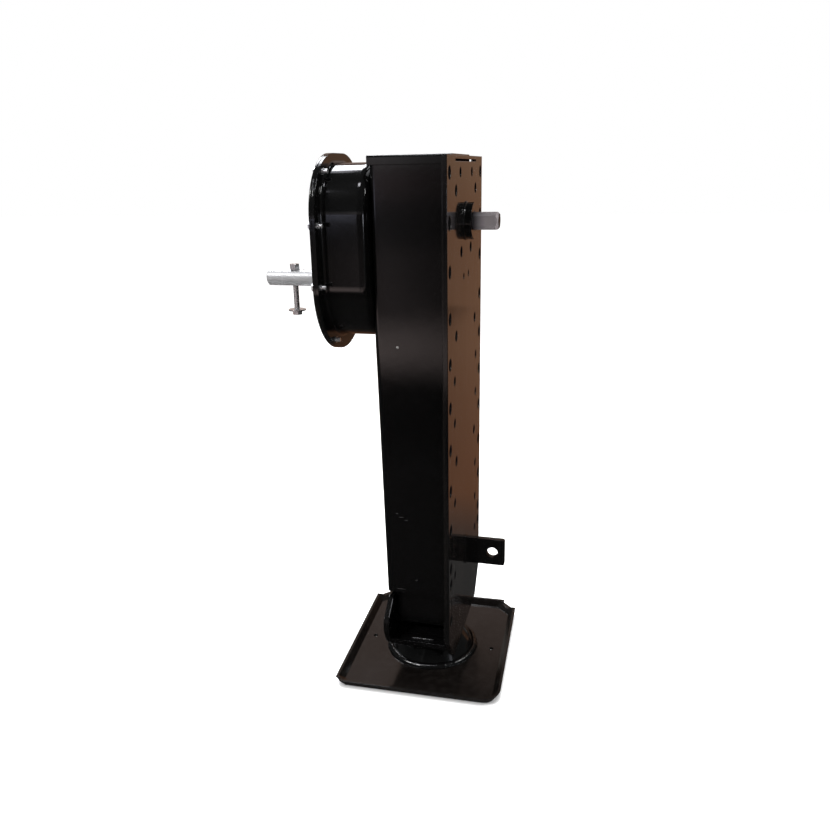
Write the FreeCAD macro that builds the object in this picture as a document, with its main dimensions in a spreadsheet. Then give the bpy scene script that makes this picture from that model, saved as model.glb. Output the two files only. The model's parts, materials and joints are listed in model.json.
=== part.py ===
import FreeCAD, Part
import math
import os
from types import SimpleNamespace

import Sketcher
from FreeCAD import Placement, Rotation, Vector

# A trailer landing leg: geared two-speed screw jack on a mounting plate, with a tilting, swivelling foot.
# Frame: Z up from the floor, the screw's axis is the Z axis, X points inboard through the mounting plate.

# Driving sizes in millimetres, or plain counts
SIZES = {
    # mounting plate
    "plate_thick": 7.0,
    "plate_gap": 1.0,
    "plate_half": 127.0,
    "plate_head": 4.0,
    "corner_cut_y": 38.0,
    "corner_cut_z": 44.0,
    "hole_radius": 8.5,
    "hole_inset": 15.0,
    "hole_edge": 21.0,
    "hole_pitch": 60.0,
    "hole_rows": 10,
    "foot_row_rise": 74.0,
    "side_inset": 45.0,
    "side_radius": 6.5,
    "clip_inset": 56.0,
    "clip_radius": 7.5,
    "cap_hole_column": 42.0,
    "bracket_column": 35.0,
    "bracket_drop": 38.0,
    "vent_column": 17.5,
    "vent_drop": 73.0,
    "vent_radius": 4.5,
    "slit_edge": 6.0,
    "slit_length": 150.0,
    "slit_height": 3.0,
    # outer tube and its cap
    "tube_wall": 5.0,
    "tube_lean": 7.0,
    "bend_drop": 83.0,
    "tube_head": 81.0,
    "tube_corner": 7.0,
    "cap_thick": 6.0,
    "cap_bend": 2.5,
    "cap_skirt": 6.5,
    "cap_sheet": 2.0,
    "cap_overhang": 2.0,
    # brace tab
    "tab_reach": 62.0,
    "tab_thick": 8.0,
    "tab_rise": 114.0,
    "tab_height": 43.0,
    "tab_hole_reach": 43.0,
    "tab_hole_rise": 21.0,
    "tab_hole_radius": 8.5,
    "tab_corner": 3.0,
    # gear case and cover
    "case_room": 10.15,
    "case_head": 9.15,
    "case_corner_front": 66.0,
    "case_corner_back": 62.0,
    "case_wall": 4.0,
    "case_edge": 12.0,
    "flange_rim": 13.0,
    "flange_edge": 7.5,
    "flange_corner_step": 18.0,
    "flange_thick": 4.0,
    "flange_root": 4.0,
    "cover_gap": 1.0,
    "cover_thick": 4.0,
    "boss_radius": 27.0,
    "boss_height": 7.0,
    "bolt_radius": 3.0,
    "bolt_head_radius": 5.5,
    "bolt_head_height": 3.2,
    "bolt_nut_radius": 4.2,
    "bolt_nut_height": 2.5,
    "bolt_end": 5.5,
    "bolt_gap": 4.0,
    # gears
    "crank_height": 603.0,
    "centre_distance": 81.0,
    "fast_teeth": 30,
    "fast_wheel_teeth": 24,
    "low_teeth": 12,
    "low_wheel_teeth": 42,
    "bevel_module": 3.0,
    "bevel_pinion_teeth": 14,
    "bevel_wheel_teeth": 28,
    "bevel_face": 14.0,
    "backlash": 0.3,
    "fast_width": 18.0,
    "low_width": 13.0,
    "collar_length": 7.5,
    "collar_wall": 5.0,
    "dog_thick": 7.0,
    "dog_slack": 0.3,
    "wheel_inset": 0.5,
    # shafts and bushes
    "running_gap": 0.05,
    "side_gap": 0.5,
    "bush_wall": 5.0,
    "bush_reach": 19.0,
    "crank_radius": 12.0,
    "crank_free": 102.0,
    "crank_tail": 20.0,
    "crank_chamfer": 2.0,
    "drive_pin_radius": 3.0,
    "drive_pin_half": 15.5,
    "circlip_thick": 1.2,
    "circlip_wall": 3.0,
    "seal_thick": 3.0,
    "cross_inset": 41.5,
    "cross_radius": 4.0,
    "cross_slack": 0.25,
    "cross_nut_radius": 7.5,
    "cross_nut_height": 8.0,
    "cross_drop": 47.0,
    "cross_washer_radius": 13.0,
    "cross_washer_thick": 2.0,
    "cross_head_height": 6.0,
    "output_radius": 12.5,
    "output_waist": 9.5,
    "output_end_radius": 10.0,
    "stub_journal": 13.5,
    "stub_square": 23.0,
    "stub_length": 35.0,
    "stub_chamfer": 4.0,
    "hub_rim": 1.0,
    "hub_length": 11.0,
    "end_cap_radius": 20.0,
    "end_cap_sheet": 2.0,
    # spindle
    "spindle_radius": 14.0,
    "spindle_clearance": 14.0,
    "spindle_journal": 12.5,
    "spindle_seat": 10.0,
    "spindle_collar": 24.0,
    "collar_height": 10.0,
    "race_thick": 5.0,
    "race_outer": 26.0,
    "ball_radius": 4.0,
    "ball_count": 12,
    "bearing_gap": 7.0,
    "bearing_plate_thick": 12.0,
    "lock_nut_radius": 14.0,
    "lock_nut_height": 5.5,
    "stop_ring_radius": 17.0,
    "stop_ring_height": 6.0,
    # lower leg
    "lower_half_x": 42.0,
    "lower_half_y": 51.0,
    "lower_wall": 6.0,
    "lower_corner": 8.0,
    "leg_clearance": 12.0,
    "nut_plate_thick": 12.0,
    "nut_plate_gap": 0.4,
    "nut_radius": 24.0,
    "nut_length": 52.0,
    "pad_room_x": 6.0,
    "pad_room_y": 4.0,
    "pad_height": 30.0,
    "pad_gap": 0.3,
    "pad_rise": 2.0,
    "pad_inset": 8.0,
    # foot
    "axle_rise": 38.0,
    "axle_radius": 12.5,
    "axle_head_radius": 18.0,
    "axle_head_thick": 5.0,
    "axle_tube_wall": 5.5,
    "cheek_gap": 1.0,
    "cheek_thick": 8.0,
    "web_thick": 12.0,
    "web_bottom": 48.0,
    "web_half": 80.0,
    "cheek_half": 93.0,
    "cheek_shoulder": 60.0,
    "cheek_rise": 22.0,
    "cheek_flare_height": 30.0,
    "cheek_shoulder_drop": 25.0,
    "cheek_corner": 14.0,
    "saddle_bend": 10.0,
    "tilt_clearance": 8.0,
    "foot_axis": 4.0,
    "king_radius": 12.0,
    "king_washer_radius": 22.0,
    "king_washer_thick": 3.0,
    "king_head_radius": 18.0,
    "king_head_height": 9.0,
    "king_nut_height": 14.0,
    "king_end": 3.0,
    "swivel_radius": 36.0,
    "swivel_thick": 4.0,
    "swivel_gap": 0.2,
    "dome_base": 69.0,
    "dome_shoulder": 61.0,
    "dome_shoulder_height": 15.0,
    "dome_top": 45.0,
    "dome_round": 12.0,
    "dome_wall": 7.0,
    "pan_half_x": 126.0,
    "pan_half_y": 138.0,
    "pan_flare": 8.0,
    "pan_thick": 4.0,
    "pan_lip": 8.5,
    "pan_notch": 3.0,
    "pan_corner_back": 22.0,
    "pan_corner_front": 8.0,
    "pan_round": 26.0,
    "drain_inset": 28.0,
    "drain_radius": 3.5,
}

# Gear teeth: involute flanks at a 25 degree pressure angle, so that the smallest pinion has no undercut
PRESSURE_ANGLE = math.radians(25)
ADDENDUM = 0.95
DEDENDUM = 1.25
FLANK_POINTS = 4

# Angles: places of the cover bolts, and how far the foot has swivelled
CORNER_BOLT_ANGLE = math.radians(52)
LOW_BOLT_ANGLE = math.radians(60)
PAN_TURN = math.radians(1.5)


class Dim:
    """A size with its sheet expression, for bindings, and its number, for coded shapes."""

    def __init__(self, text, value):
        self.text = text
        self.value = float(value)

    def __float__(self):
        return self.value

    def __neg__(self):
        return Dim(f"(-{self.text})", -self.value)

    def __add__(self, other):
        return Dim(f"({self.text} + {text_of(other)})", self.value + float(other))

    def __sub__(self, other):
        return Dim(f"({self.text} - {text_of(other)})", self.value - float(other))

    def __mul__(self, other):
        return Dim(f"({self.text} * {text_of(other)})", self.value * float(other))

    def __truediv__(self, other):
        return Dim(f"({self.text} / {text_of(other)})", self.value / float(other))

    def __radd__(self, other):
        return Dim(f"({text_of(other)} + {self.text})", float(other) + self.value)

    def __rsub__(self, other):
        return Dim(f"({text_of(other)} - {self.text})", float(other) - self.value)

    def __rmul__(self, other):
        return Dim(f"({text_of(other)} * {self.text})", float(other) * self.value)


def text_of(size):
    return size.text if isinstance(size, Dim) else f"{float(size):g}"


doc = FreeCAD.newDocument("landing_leg")
sheet = doc.addObject("Spreadsheet::Sheet", "Sizes")
for row, (alias, value) in enumerate(SIZES.items(), 1):
    sheet.set(f"A{row}", alias.replace("_", " "))
    sheet.set(f"B{row}", str(value))
    sheet.setAlias(f"B{row}", alias)
doc.recompute()
s = SimpleNamespace(**{alias: Dim(f"Sizes.{alias}", sheet.get(alias)) for alias in SIZES})

ALONG = {
    "x": Rotation(Vector(0, 1, 0), 90),
    "y": Rotation(Vector(1, 0, 0), -90),
    "z": Rotation(),
}
nodes = {}


# Helpers: bindings, primitives and booleans
def bind(obj, path, size):
    obj.setExpression(path, text_of(size))


def place(obj, x, y, z, rotation=None):
    obj.Placement = Placement(Vector(float(x), float(y), float(z)), rotation or Rotation())
    bind(obj, "Placement.Base.x", x)
    bind(obj, "Placement.Base.y", y)
    bind(obj, "Placement.Base.z", z)
    return obj


def keep(name, obj):
    """Makes the object a sub-part: its label names the node and the file."""
    obj.Label = name
    nodes[name] = obj
    return obj


def block(name, x, y, z):
    """A box over the ranges x, y and z, each a (low, high) pair."""
    obj = doc.addObject("Part::Box", name)
    for prop, (low, high) in zip(("Length", "Width", "Height"), (x, y, z)):
        bind(obj, prop, high - low)
    return place(obj, x[0], y[0], z[0])


def on_axis(axis, along, at):
    """The point at a distance along an axis whose other two coordinates are at."""
    if axis == "x":
        return along, at[0], at[1]
    if axis == "y":
        return at[0], along, at[1]
    return at[0], at[1], along


def rod(name, axis, radius, low, high, at=(0, 0)):
    obj = doc.addObject("Part::Cylinder", name)
    bind(obj, "Radius", radius)
    bind(obj, "Height", high - low)
    return place(obj, *on_axis(axis, low, at), ALONG[axis])


def hexagon(name, axis, radius, low, high, at=(0, 0)):
    obj = doc.addObject("Part::Prism", name)
    obj.Polygon = 6
    bind(obj, "Circumradius", radius)
    bind(obj, "Height", high - low)
    return place(obj, *on_axis(axis, low, at), ALONG[axis])


def cut(name, base, *tools):
    for number, tool in enumerate(tools, 1):
        last = number == len(tools)
        obj = doc.addObject("Part::Cut", name if last else f"{name}_cut_{number}")
        obj.Base = base
        obj.Tool = tool
        base = obj
    return base


def fuse(name, *shapes):
    obj = doc.addObject("Part::MultiFuse", name)
    obj.Shapes = list(shapes)
    obj.Refine = True
    return obj


def group(name, shapes):
    obj = doc.addObject("Part::Compound", name)
    obj.Links = list(shapes)
    return obj


def ring(name, axis, outer, inner, low, high, at=(0, 0)):
    blank = rod(f"{name}_blank", axis, outer, low, high, at)
    return cut(name, blank, rod(f"{name}_bore", axis, inner, low, high, at))


# Helpers: sketched bodies
def new_body(name):
    return doc.addObject("PartDesign::Body", name)


def new_sketch(body, name, plane, offset=0):
    """A sketch on an origin plane: YZ looks along X, XZ along -Y and XY along Z, offset that way."""
    role = f"{plane}_Plane"
    sketch = body.newObject("Sketcher::SketchObject", name)
    sketch.AttachmentSupport = ([f for f in body.Origin.OriginFeatures if f.Role == role][0], [""])
    sketch.MapMode = "FlatFace"
    bind(sketch, "AttachmentOffset.Base.z", offset)
    return sketch


def pin_point(sketch, geometry, point, u, v):
    for kind, size in (("DistanceX", u), ("DistanceY", v)):
        index = sketch.addConstraint(Sketcher.Constraint(kind, -1, 1, geometry, point, float(size)))
        bind(sketch, f"Constraints[{index}]", size)


def polygon(sketch, points, rounds=None):
    """A closed outline through points; rounds gives a radius for each edge that is an outward arc."""
    rounds = rounds or {}
    first = sketch.GeometryCount
    count = len(points)
    corners = [Vector(float(u), float(v), 0) for u, v in points]
    for i in range(count):
        start, end = corners[i], corners[(i + 1) % count]
        edge = arc_between(start, end, float(rounds[i])) if i in rounds else Part.LineSegment(start, end)
        sketch.addGeometry(edge)
    for i in range(count):
        sketch.addConstraint(Sketcher.Constraint("Coincident", first + i, 2, first + (i + 1) % count, 1))
    for i, (u, v) in enumerate(points):
        pin_point(sketch, first + i, 1, u, v)
    for i, radius in rounds.items():
        index = sketch.addConstraint(Sketcher.Constraint("Radius", first + i, float(radius)))
        bind(sketch, f"Constraints[{index}]", radius)


def arc_between(start, end, radius):
    """The short arc that turns left from start to end."""
    chord = end - start
    rise = math.sqrt(radius**2 - chord.Length**2 / 4)
    centre = (start + end) / 2 + Vector(-chord.y, chord.x, 0).normalize() * rise
    angles = [math.atan2(p.y - centre.y, p.x - centre.x) for p in (start, end)]
    return Part.ArcOfCircle(Part.Circle(centre, Vector(0, 0, 1), radius), *angles)


def circle(sketch, u, v, radius):
    index = sketch.addGeometry(Part.Circle(Vector(float(u), float(v), 0), Vector(0, 0, 1), float(radius)))
    pin_point(sketch, index, 3, u, v)
    constraint = sketch.addConstraint(Sketcher.Constraint("Radius", index, float(radius)))
    bind(sketch, f"Constraints[{constraint}]", radius)


def arch(sketch, half, top, corners, axis_height):
    """A gear case outline: a half circle about the crank axis, two sides, and a top with round corners."""
    h, t, c = float(half), float(top), float(axis_height)
    f, b = float(corners[0]), float(corners[1])

    def arc(u, v, radius, start, end):
        circle_ = Part.Circle(Vector(u, v, 0), Vector(0, 0, 1), radius)
        return Part.ArcOfCircle(circle_, math.radians(start), math.radians(end))

    sketch.addGeometry(Part.LineSegment(Vector(h, c, 0), Vector(h, t - b, 0)))
    sketch.addGeometry(arc(h - b, t - b, b, 0, 90))
    sketch.addGeometry(Part.LineSegment(Vector(h - b, t, 0), Vector(f - h, t, 0)))
    sketch.addGeometry(arc(f - h, t - f, f, 90, 180))
    sketch.addGeometry(Part.LineSegment(Vector(-h, t - f, 0), Vector(-h, c, 0)))
    sketch.addGeometry(arc(0, c, h, 180, 360))
    for edge in range(6):
        sketch.addConstraint(Sketcher.Constraint("Tangent", edge, 2, (edge + 1) % 6, 1))
    sketch.addConstraint(Sketcher.Constraint("PointOnObject", 5, 3, -2))
    sketch.addConstraint(Sketcher.Constraint("Vertical", 0))
    sketch.addConstraint(Sketcher.Constraint("Vertical", 4))
    sketch.addConstraint(Sketcher.Constraint("Horizontal", 2))
    for constraint, size in (
        (Sketcher.Constraint("DistanceY", -1, 1, 5, 3, c), axis_height),
        (Sketcher.Constraint("DistanceY", -1, 1, 2, 1, t), top),
        (Sketcher.Constraint("Radius", 5, h), half),
        (Sketcher.Constraint("Radius", 3, f), corners[0]),
        (Sketcher.Constraint("Radius", 1, b), corners[1]),
    ):
        index = sketch.addConstraint(constraint)
        bind(sketch, f"Constraints[{index}]", size)


def pad(body, sketch, length, middle=False, back=False):
    feature = body.newObject("PartDesign::Pad", f"{sketch.Name}_pad")
    feature.Profile = sketch
    feature.Midplane = middle
    feature.Reversed = back
    bind(feature, "Length", length)
    return feature


def pocket(body, sketch, length, middle=False, forward=False):
    """Cuts against the sketch's normal, or along it when forward."""
    feature = body.newObject("PartDesign::Pocket", f"{sketch.Name}_pocket")
    feature.Profile = sketch
    feature.Midplane = middle
    feature.Reversed = forward
    bind(feature, "Length", length)
    return feature


def round_edges(body, name, radius, chosen):
    """Fillets the edges of the body's tip for which chosen says yes."""
    doc.recompute()
    tip = body.Tip
    edges = [f"Edge{i}" for i, edge in enumerate(tip.Shape.Edges, 1) if chosen(edge)]
    feature = body.newObject("PartDesign::Fillet", name)
    feature.Base = (tip, edges)
    bind(feature, "Radius", radius)
    return feature


def near(value, size):
    return abs(value - float(size)) < 1e-4


def is_straight(edge):
    return isinstance(edge.Curve, Part.Line)


def revolve(name, profile, axis="z", at=(0, 0)):
    """A solid of revolution from (radius, along) points, bound to the sheet through its sketch."""
    body = new_body(name)
    sketch = new_sketch(body, f"{name}_profile", "XZ")
    polygon(sketch, profile)
    feature = body.newObject("PartDesign::Revolution", f"{name}_turn")
    feature.Profile = sketch
    feature.ReferenceAxis = (sketch, ["V_Axis"])
    feature.Angle = 360
    place(body, *on_axis(axis, 0, at), ALONG[axis])
    return body


# Sizes that follow from the driving ones, from the foot up
saddle_inside = s.lower_half_x + s.cheek_gap
saddle_outside = saddle_inside + s.cheek_thick
web_top = s.web_bottom + s.web_thick
s.axle_height = web_top + s.axle_rise
axle_bore = s.axle_radius + s.running_gap
axle_tube_radius = axle_bore + s.axle_tube_wall
s.cheek_low = s.web_bottom + s.cheek_flare_height
s.cheek_top = s.axle_height + s.cheek_rise
s.cheek_high = s.cheek_top - s.cheek_shoulder_drop
s.drain_reach = s.pan_half_x - s.drain_inset
s.lower_bottom = web_top + s.leg_clearance
s.spindle_bottom = s.axle_height + axle_tube_radius + s.spindle_clearance + s.stop_ring_height
plate_back = saddle_outside + s.plate_gap
s.plate_face = plate_back + s.plate_thick
s.plate_bottom = s.web_bottom
s.tube_bottom = s.cheek_top + s.tilt_clearance
s.tube_face_low = s.lower_half_x + s.pad_room_x + s.tube_wall
s.tube_face = s.tube_face_low + s.tube_lean
s.tube_half = s.lower_half_y + s.pad_room_y + s.tube_wall
s.tube_bend = s.crank_height - s.bend_drop

# Shafts, bushes and the row of gears along X, outboard from the tube
crank_bore = s.crank_radius + s.running_gap
crank_bush_radius = crank_bore + s.bush_wall
output_bore = s.output_radius + s.running_gap
output_bush_radius = output_bore + s.bush_wall
end_bore = s.output_end_radius + s.running_gap
end_bush_radius = end_bore + s.bush_wall
hub_bore = s.stub_journal + s.running_gap
hub_bush_radius = hub_bore + s.bush_wall
spigot_radius = hub_bush_radius + s.bush_wall
hub_face = s.plate_face + s.hub_length
bush_outer_end = s.tube_face + s.bush_reach
bush_inner_end = s.tube_face - s.tube_wall - s.side_gap * 4
fast_inner = bush_outer_end + s.side_gap * 2
fast_outer = fast_inner + s.fast_width
collar_end = fast_outer + s.collar_length
low_inner = collar_end + s.side_gap
low_dog_end = low_inner + s.dog_thick
low_outer = low_dog_end + s.low_width
case_mouth = low_outer + s.cover_gap
cover_face = case_mouth + s.cover_thick
boss_face = cover_face + s.boss_height
drive_slot_depth = s.drive_pin_radius * 2 + s.dog_slack
drive_pin_place = fast_outer - s.drive_pin_radius - s.dog_slack / 2
s.crank_tip = boss_face + s.crank_free
s.crank_inner = bush_inner_end - s.crank_tail
s.cross_place = s.crank_tip - s.cross_inset
s.stub_end = hub_face + s.stub_length

# Heights of the gears, the bearing and the case
output_height = s.crank_height + s.centre_distance
axis_at_crank = (0, s.crank_height)
axis_at_output = (0, output_height)
bearing_low = s.crank_height + crank_bush_radius + s.bearing_gap
bearing_high = bearing_low + s.bearing_plate_thick
leg_top = s.crank_height - s.crank_radius - s.circlip_wall - s.side_gap * 2
s.lower_top = leg_top - s.nut_plate_thick
fast_module = s.centre_distance * 2 / (s.fast_teeth + s.fast_wheel_teeth)
low_module = s.centre_distance * 2 / (s.low_teeth + s.low_wheel_teeth)
low_wheel_tip = low_module * (s.low_wheel_teeth / 2 + ADDENDUM)
s.case_half = low_wheel_tip + s.case_room + s.case_wall
s.case_top = output_height + low_wheel_tip + s.case_head + s.case_wall
bolt_reach = s.flange_root + s.bolt_head_radius + s.bolt_gap
bolt_circle = s.case_half + bolt_reach
s.flange_half = bolt_circle + s.flange_edge
s.flange_top = s.case_top + s.flange_rim
s.flange_corner_front = s.case_corner_front + s.flange_corner_step
s.flange_corner_back = s.case_corner_back + s.flange_corner_step
case_corners = (s.case_corner_front, s.case_corner_back)
flange_corners = (s.flange_corner_front, s.flange_corner_back)
s.tube_top = output_height + s.tube_head

# Rows and columns of the plate's holes
s.plate_top = s.tube_top + s.plate_head
s.hole_row = s.plate_top - s.hole_edge
s.slit_row = s.plate_top - s.slit_edge
s.hole_column = s.plate_half - s.hole_inset
s.side_column = s.plate_half - s.side_inset
s.clip_column = s.plate_half - s.clip_inset
s.bracket_row = output_height - s.bracket_drop
s.vent_row = output_height - s.vent_drop
s.foot_row_lower = s.plate_bottom + s.foot_row_rise
s.foot_row_upper = s.foot_row_lower + s.hole_pitch
s.tab_bottom = s.plate_bottom + s.tab_rise


def all_bolt_places():
    """The cover bolts: one in each top corner, then pairs down the sides and round the bottom."""
    for side, corner in zip((-1, 1), flange_corners):
        reach = corner - s.flange_edge
        y = s.flange_half - corner + reach * math.cos(CORNER_BOLT_ANGLE)
        yield y * side, s.flange_top - corner + reach * math.sin(CORNER_BOLT_ANGLE)
    low_y, low_z = bolt_circle * math.cos(LOW_BOLT_ANGLE), bolt_circle * math.sin(LOW_BOLT_ANGLE)
    for side in (-1, 1):
        yield bolt_circle * side, output_height
        yield bolt_circle * side, s.crank_height
        yield low_y * side, s.crank_height - low_z


# Mounting plate
def make_mounting_plate():
    body = new_body("plate")
    outline = new_sketch(body, "plate_outline", "YZ", plate_back)
    low_half = s.plate_half - s.corner_cut_y
    shoulder = s.plate_bottom + s.corner_cut_z
    right = [(s.plate_half, s.plate_top), (s.plate_half, shoulder), (low_half, s.plate_bottom)]
    polygon(outline, right + [(-y, z) for y, z in reversed(right)])
    pad(body, outline, s.plate_thick)

    single = new_sketch(body, "plate_holes", "YZ", plate_back)
    circle(single, 0, output_height, spigot_radius)
    pairs = [(s.hole_column, row, s.hole_radius) for row in (s.foot_row_upper, s.foot_row_lower)]
    side_rows = [s.hole_row - s.hole_pitch * step for step in (4.5, 5.5, 7.5, 8.5)]
    pairs += [(s.side_column, row, s.side_radius) for row in side_rows + [s.foot_row_upper]]
    clip_rows = [s.hole_row - s.hole_pitch * step for step in (0.37, 3.5, 6.5)]
    pairs += [(s.clip_column, row, s.clip_radius) for row in clip_rows]
    pairs.append((s.cap_hole_column, s.hole_row, s.side_radius))
    pairs.append((s.bracket_column, s.bracket_row, s.clip_radius))
    pairs.append((s.vent_column, s.vent_row, s.vent_radius))
    for y, z, radius in pairs:
        circle(single, y, z, radius)
        circle(single, -y, z, radius)
    slit_half = s.slit_length / 2
    z0, z1 = s.slit_row - s.slit_height / 2, s.slit_row + s.slit_height / 2
    polygon(single, [(-slit_half, z0), (slit_half, z0), (slit_half, z1), (-slit_half, z1)])
    pocket(body, single, s.plate_thick, forward=True)

    pair = new_sketch(body, "row_holes", "YZ", plate_back)
    circle(pair, s.hole_column, s.hole_row, s.hole_radius)
    circle(pair, -s.hole_column, s.hole_row, s.hole_radius)
    row = pocket(body, pair, s.plate_thick, forward=True)
    pattern = body.newObject("PartDesign::LinearPattern", "row_pattern")
    pattern.Originals = [row]
    pattern.Direction = (pair, ["V_Axis"])
    pattern.Reversed = True
    bind(pattern, "Length", s.hole_pitch * (s.hole_rows - 1))
    bind(pattern, "Occurrences", s.hole_rows)
    body.Tip = pattern
    keep("mounting_plate", body)


# Outer tube: a channel whose open side is closed by the plate, its outboard wall leaning in below the bend
def make_outer_tube():
    body = new_body("channel")

    def side_view(name, wall):
        sketch = new_sketch(body, name, "XZ")
        upper, lower = wall - s.tube_face, wall - s.tube_face_low
        inboard = [(plate_back, s.tube_bottom), (plate_back, s.tube_top)]
        polygon(sketch, inboard + [(upper, s.tube_top), (upper, s.tube_bend), (lower, s.tube_bottom)])
        return sketch

    pad(body, side_view("channel_side", 0), s.tube_half * 2, middle=True)
    pocket(body, side_view("channel_room", s.tube_wall), (s.tube_half - s.tube_wall) * 2, middle=True)
    bores = new_sketch(body, "channel_bores", "YZ", -s.tube_face)
    circle(bores, 0, s.crank_height, crank_bush_radius)
    circle(bores, 0, output_height, output_bush_radius)
    pocket(body, bores, s.tube_wall, forward=True)

    def outboard_corner(edge):
        ends = [v.Point for v in edge.Vertexes]
        outside = all(near(abs(p.y), s.tube_half) and p.x < 0 for p in ends)
        return outside and is_straight(edge) and abs(ends[0].z - ends[-1].z) > 1

    round_edges(body, "channel_corners", s.tube_corner, outboard_corner)
    keep("outer_tube", body)


def make_top_cover():
    body = new_body("cap")
    top = s.tube_top + s.cap_thick
    outer = s.tube_half + s.cap_sheet
    section = new_sketch(body, "cap_section", "YZ", -s.tube_face - s.cap_overhang)
    skirt = s.tube_top - s.cap_skirt
    right = [(outer, top), (outer, skirt), (s.tube_half, skirt), (s.tube_half, s.tube_top)]
    polygon(section, right + [(-y, z) for y, z in reversed(right)])
    pad(body, section, s.cap_overhang + s.tube_face + plate_back)

    def bend(edge):
        return near(edge.BoundBox.ZMin, top) and near(abs(edge.CenterOfMass.y), outer)

    round_edges(body, "cap_bends", s.cap_bend, bend)
    keep("top_cover", body)


def make_brace_tab():
    body = new_body("tab")
    outline = new_sketch(body, "tab_outline", "XZ")
    tab_end = s.plate_face + s.tab_reach
    top = s.tab_bottom + s.tab_height
    low = s.tab_bottom
    polygon(outline, [(s.plate_face, low), (tab_end, low), (tab_end, top), (s.plate_face, top)])
    circle(outline, s.plate_face + s.tab_hole_reach, s.tab_bottom + s.tab_hole_rise, s.tab_hole_radius)
    pad(body, outline, s.tab_thick, middle=True)

    def corner(edge):
        return is_straight(edge) and near(edge.BoundBox.XMin, tab_end) and near(edge.BoundBox.ZLength, 0)

    round_edges(body, "tab_corners", s.tab_corner, corner)
    keep("brace_tab", body)


# Gear case: a deep pressing against the tube, open outboard, with a flange round its mouth
def make_gear_case():
    body = new_body("case")

    def outline(name, place_x, inset):
        sketch = new_sketch(body, name, "YZ", place_x)
        corners = [corner - inset for corner in case_corners]
        arch(sketch, s.case_half - inset, s.case_top - inset, corners, s.crank_height)
        return sketch

    depth = case_mouth - s.tube_face
    pad(body, outline("case_outside", -s.tube_face, 0), depth, back=True)
    flange = new_sketch(body, "case_flange", "YZ", -case_mouth)
    arch(flange, s.flange_half, s.flange_top, flange_corners, s.crank_height)
    pad(body, flange, s.flange_thick)
    pocket(body, outline("case_inside", -case_mouth, s.case_wall), depth - s.case_wall, forward=True)
    holes = new_sketch(body, "case_holes", "YZ", -case_mouth)
    for y, z in all_bolt_places():
        circle(holes, y, z, s.bolt_radius)
    pocket(body, holes, s.flange_thick, forward=True)
    bores = new_sketch(body, "case_bores", "YZ", -s.tube_face - s.case_wall)
    circle(bores, 0, s.crank_height, crank_bush_radius)
    circle(bores, 0, output_height, output_bush_radius)
    pocket(body, bores, s.case_wall, forward=True)

    def outline_at(place_x):
        """Chooses the edges of the case's own outline at a place along X, not holes or the flange."""

        def chosen(edge):
            box = edge.BoundBox
            flat = near(box.XMin, place_x) and near(box.XMax, place_x)
            reach = max(-box.YMin, box.YMax)
            within = reach < float(s.case_half) + 0.01 and box.ZMax < float(s.case_top) + 0.01
            return flat and within and not edge.isClosed()

        return chosen

    round_edges(body, "case_edge_round", s.case_edge, outline_at(-s.tube_face))
    round_edges(body, "case_inner_round", s.case_edge - s.case_wall, outline_at(-s.tube_face - s.case_wall))
    round_edges(body, "case_flange_root", s.flange_root, outline_at(s.flange_thick - case_mouth))
    keep("gear_case", body)


def make_gear_cover():
    body = new_body("cover")
    outline = new_sketch(body, "cover_outline", "YZ", -cover_face)
    arch(outline, s.flange_half, s.flange_top, flange_corners, s.crank_height)
    for y, z in all_bolt_places():
        circle(outline, y, z, s.bolt_radius)
    circle(outline, 0, output_height, end_bush_radius)
    pad(body, outline, s.cover_thick)
    boss = new_sketch(body, "cover_boss", "YZ", -cover_face)
    circle(boss, 0, s.crank_height, s.boss_radius)
    pad(body, boss, s.boss_height, back=True)
    bore = new_sketch(body, "cover_bore", "YZ", -boss_face)
    circle(bore, 0, s.crank_height, crank_bush_radius)
    pocket(body, bore, s.boss_height + s.cover_thick, forward=True)
    keep("gear_cover", body)


def make_cover_fasteners():
    bolts, nuts = [], []
    flange_back = case_mouth - s.flange_thick
    shank_end = flange_back - s.bolt_nut_height - s.bolt_end
    head_low = -cover_face - s.bolt_head_height
    nut_low, nut_high = -flange_back, s.bolt_nut_height - flange_back
    for number, at in enumerate(all_bolt_places()):
        head = hexagon(f"bolt_head_{number}", "x", s.bolt_head_radius, head_low, -cover_face, at)
        shank = rod(f"bolt_shank_{number}", "x", s.bolt_radius, -cover_face, -shank_end, at)
        bolts.append(fuse(f"bolt_{number}", head, shank))
        blank = rod(f"nut_blank_{number}", "x", s.bolt_nut_radius, nut_low, nut_high, at)
        bore = rod(f"nut_bore_{number}", "x", s.bolt_radius, nut_low, nut_high, at)
        nuts.append(cut(f"nut_{number}", blank, bore))
    keep("cover_bolts", group("bolt_set", bolts))
    keep("cover_nuts", group("nut_set", nuts))


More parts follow.
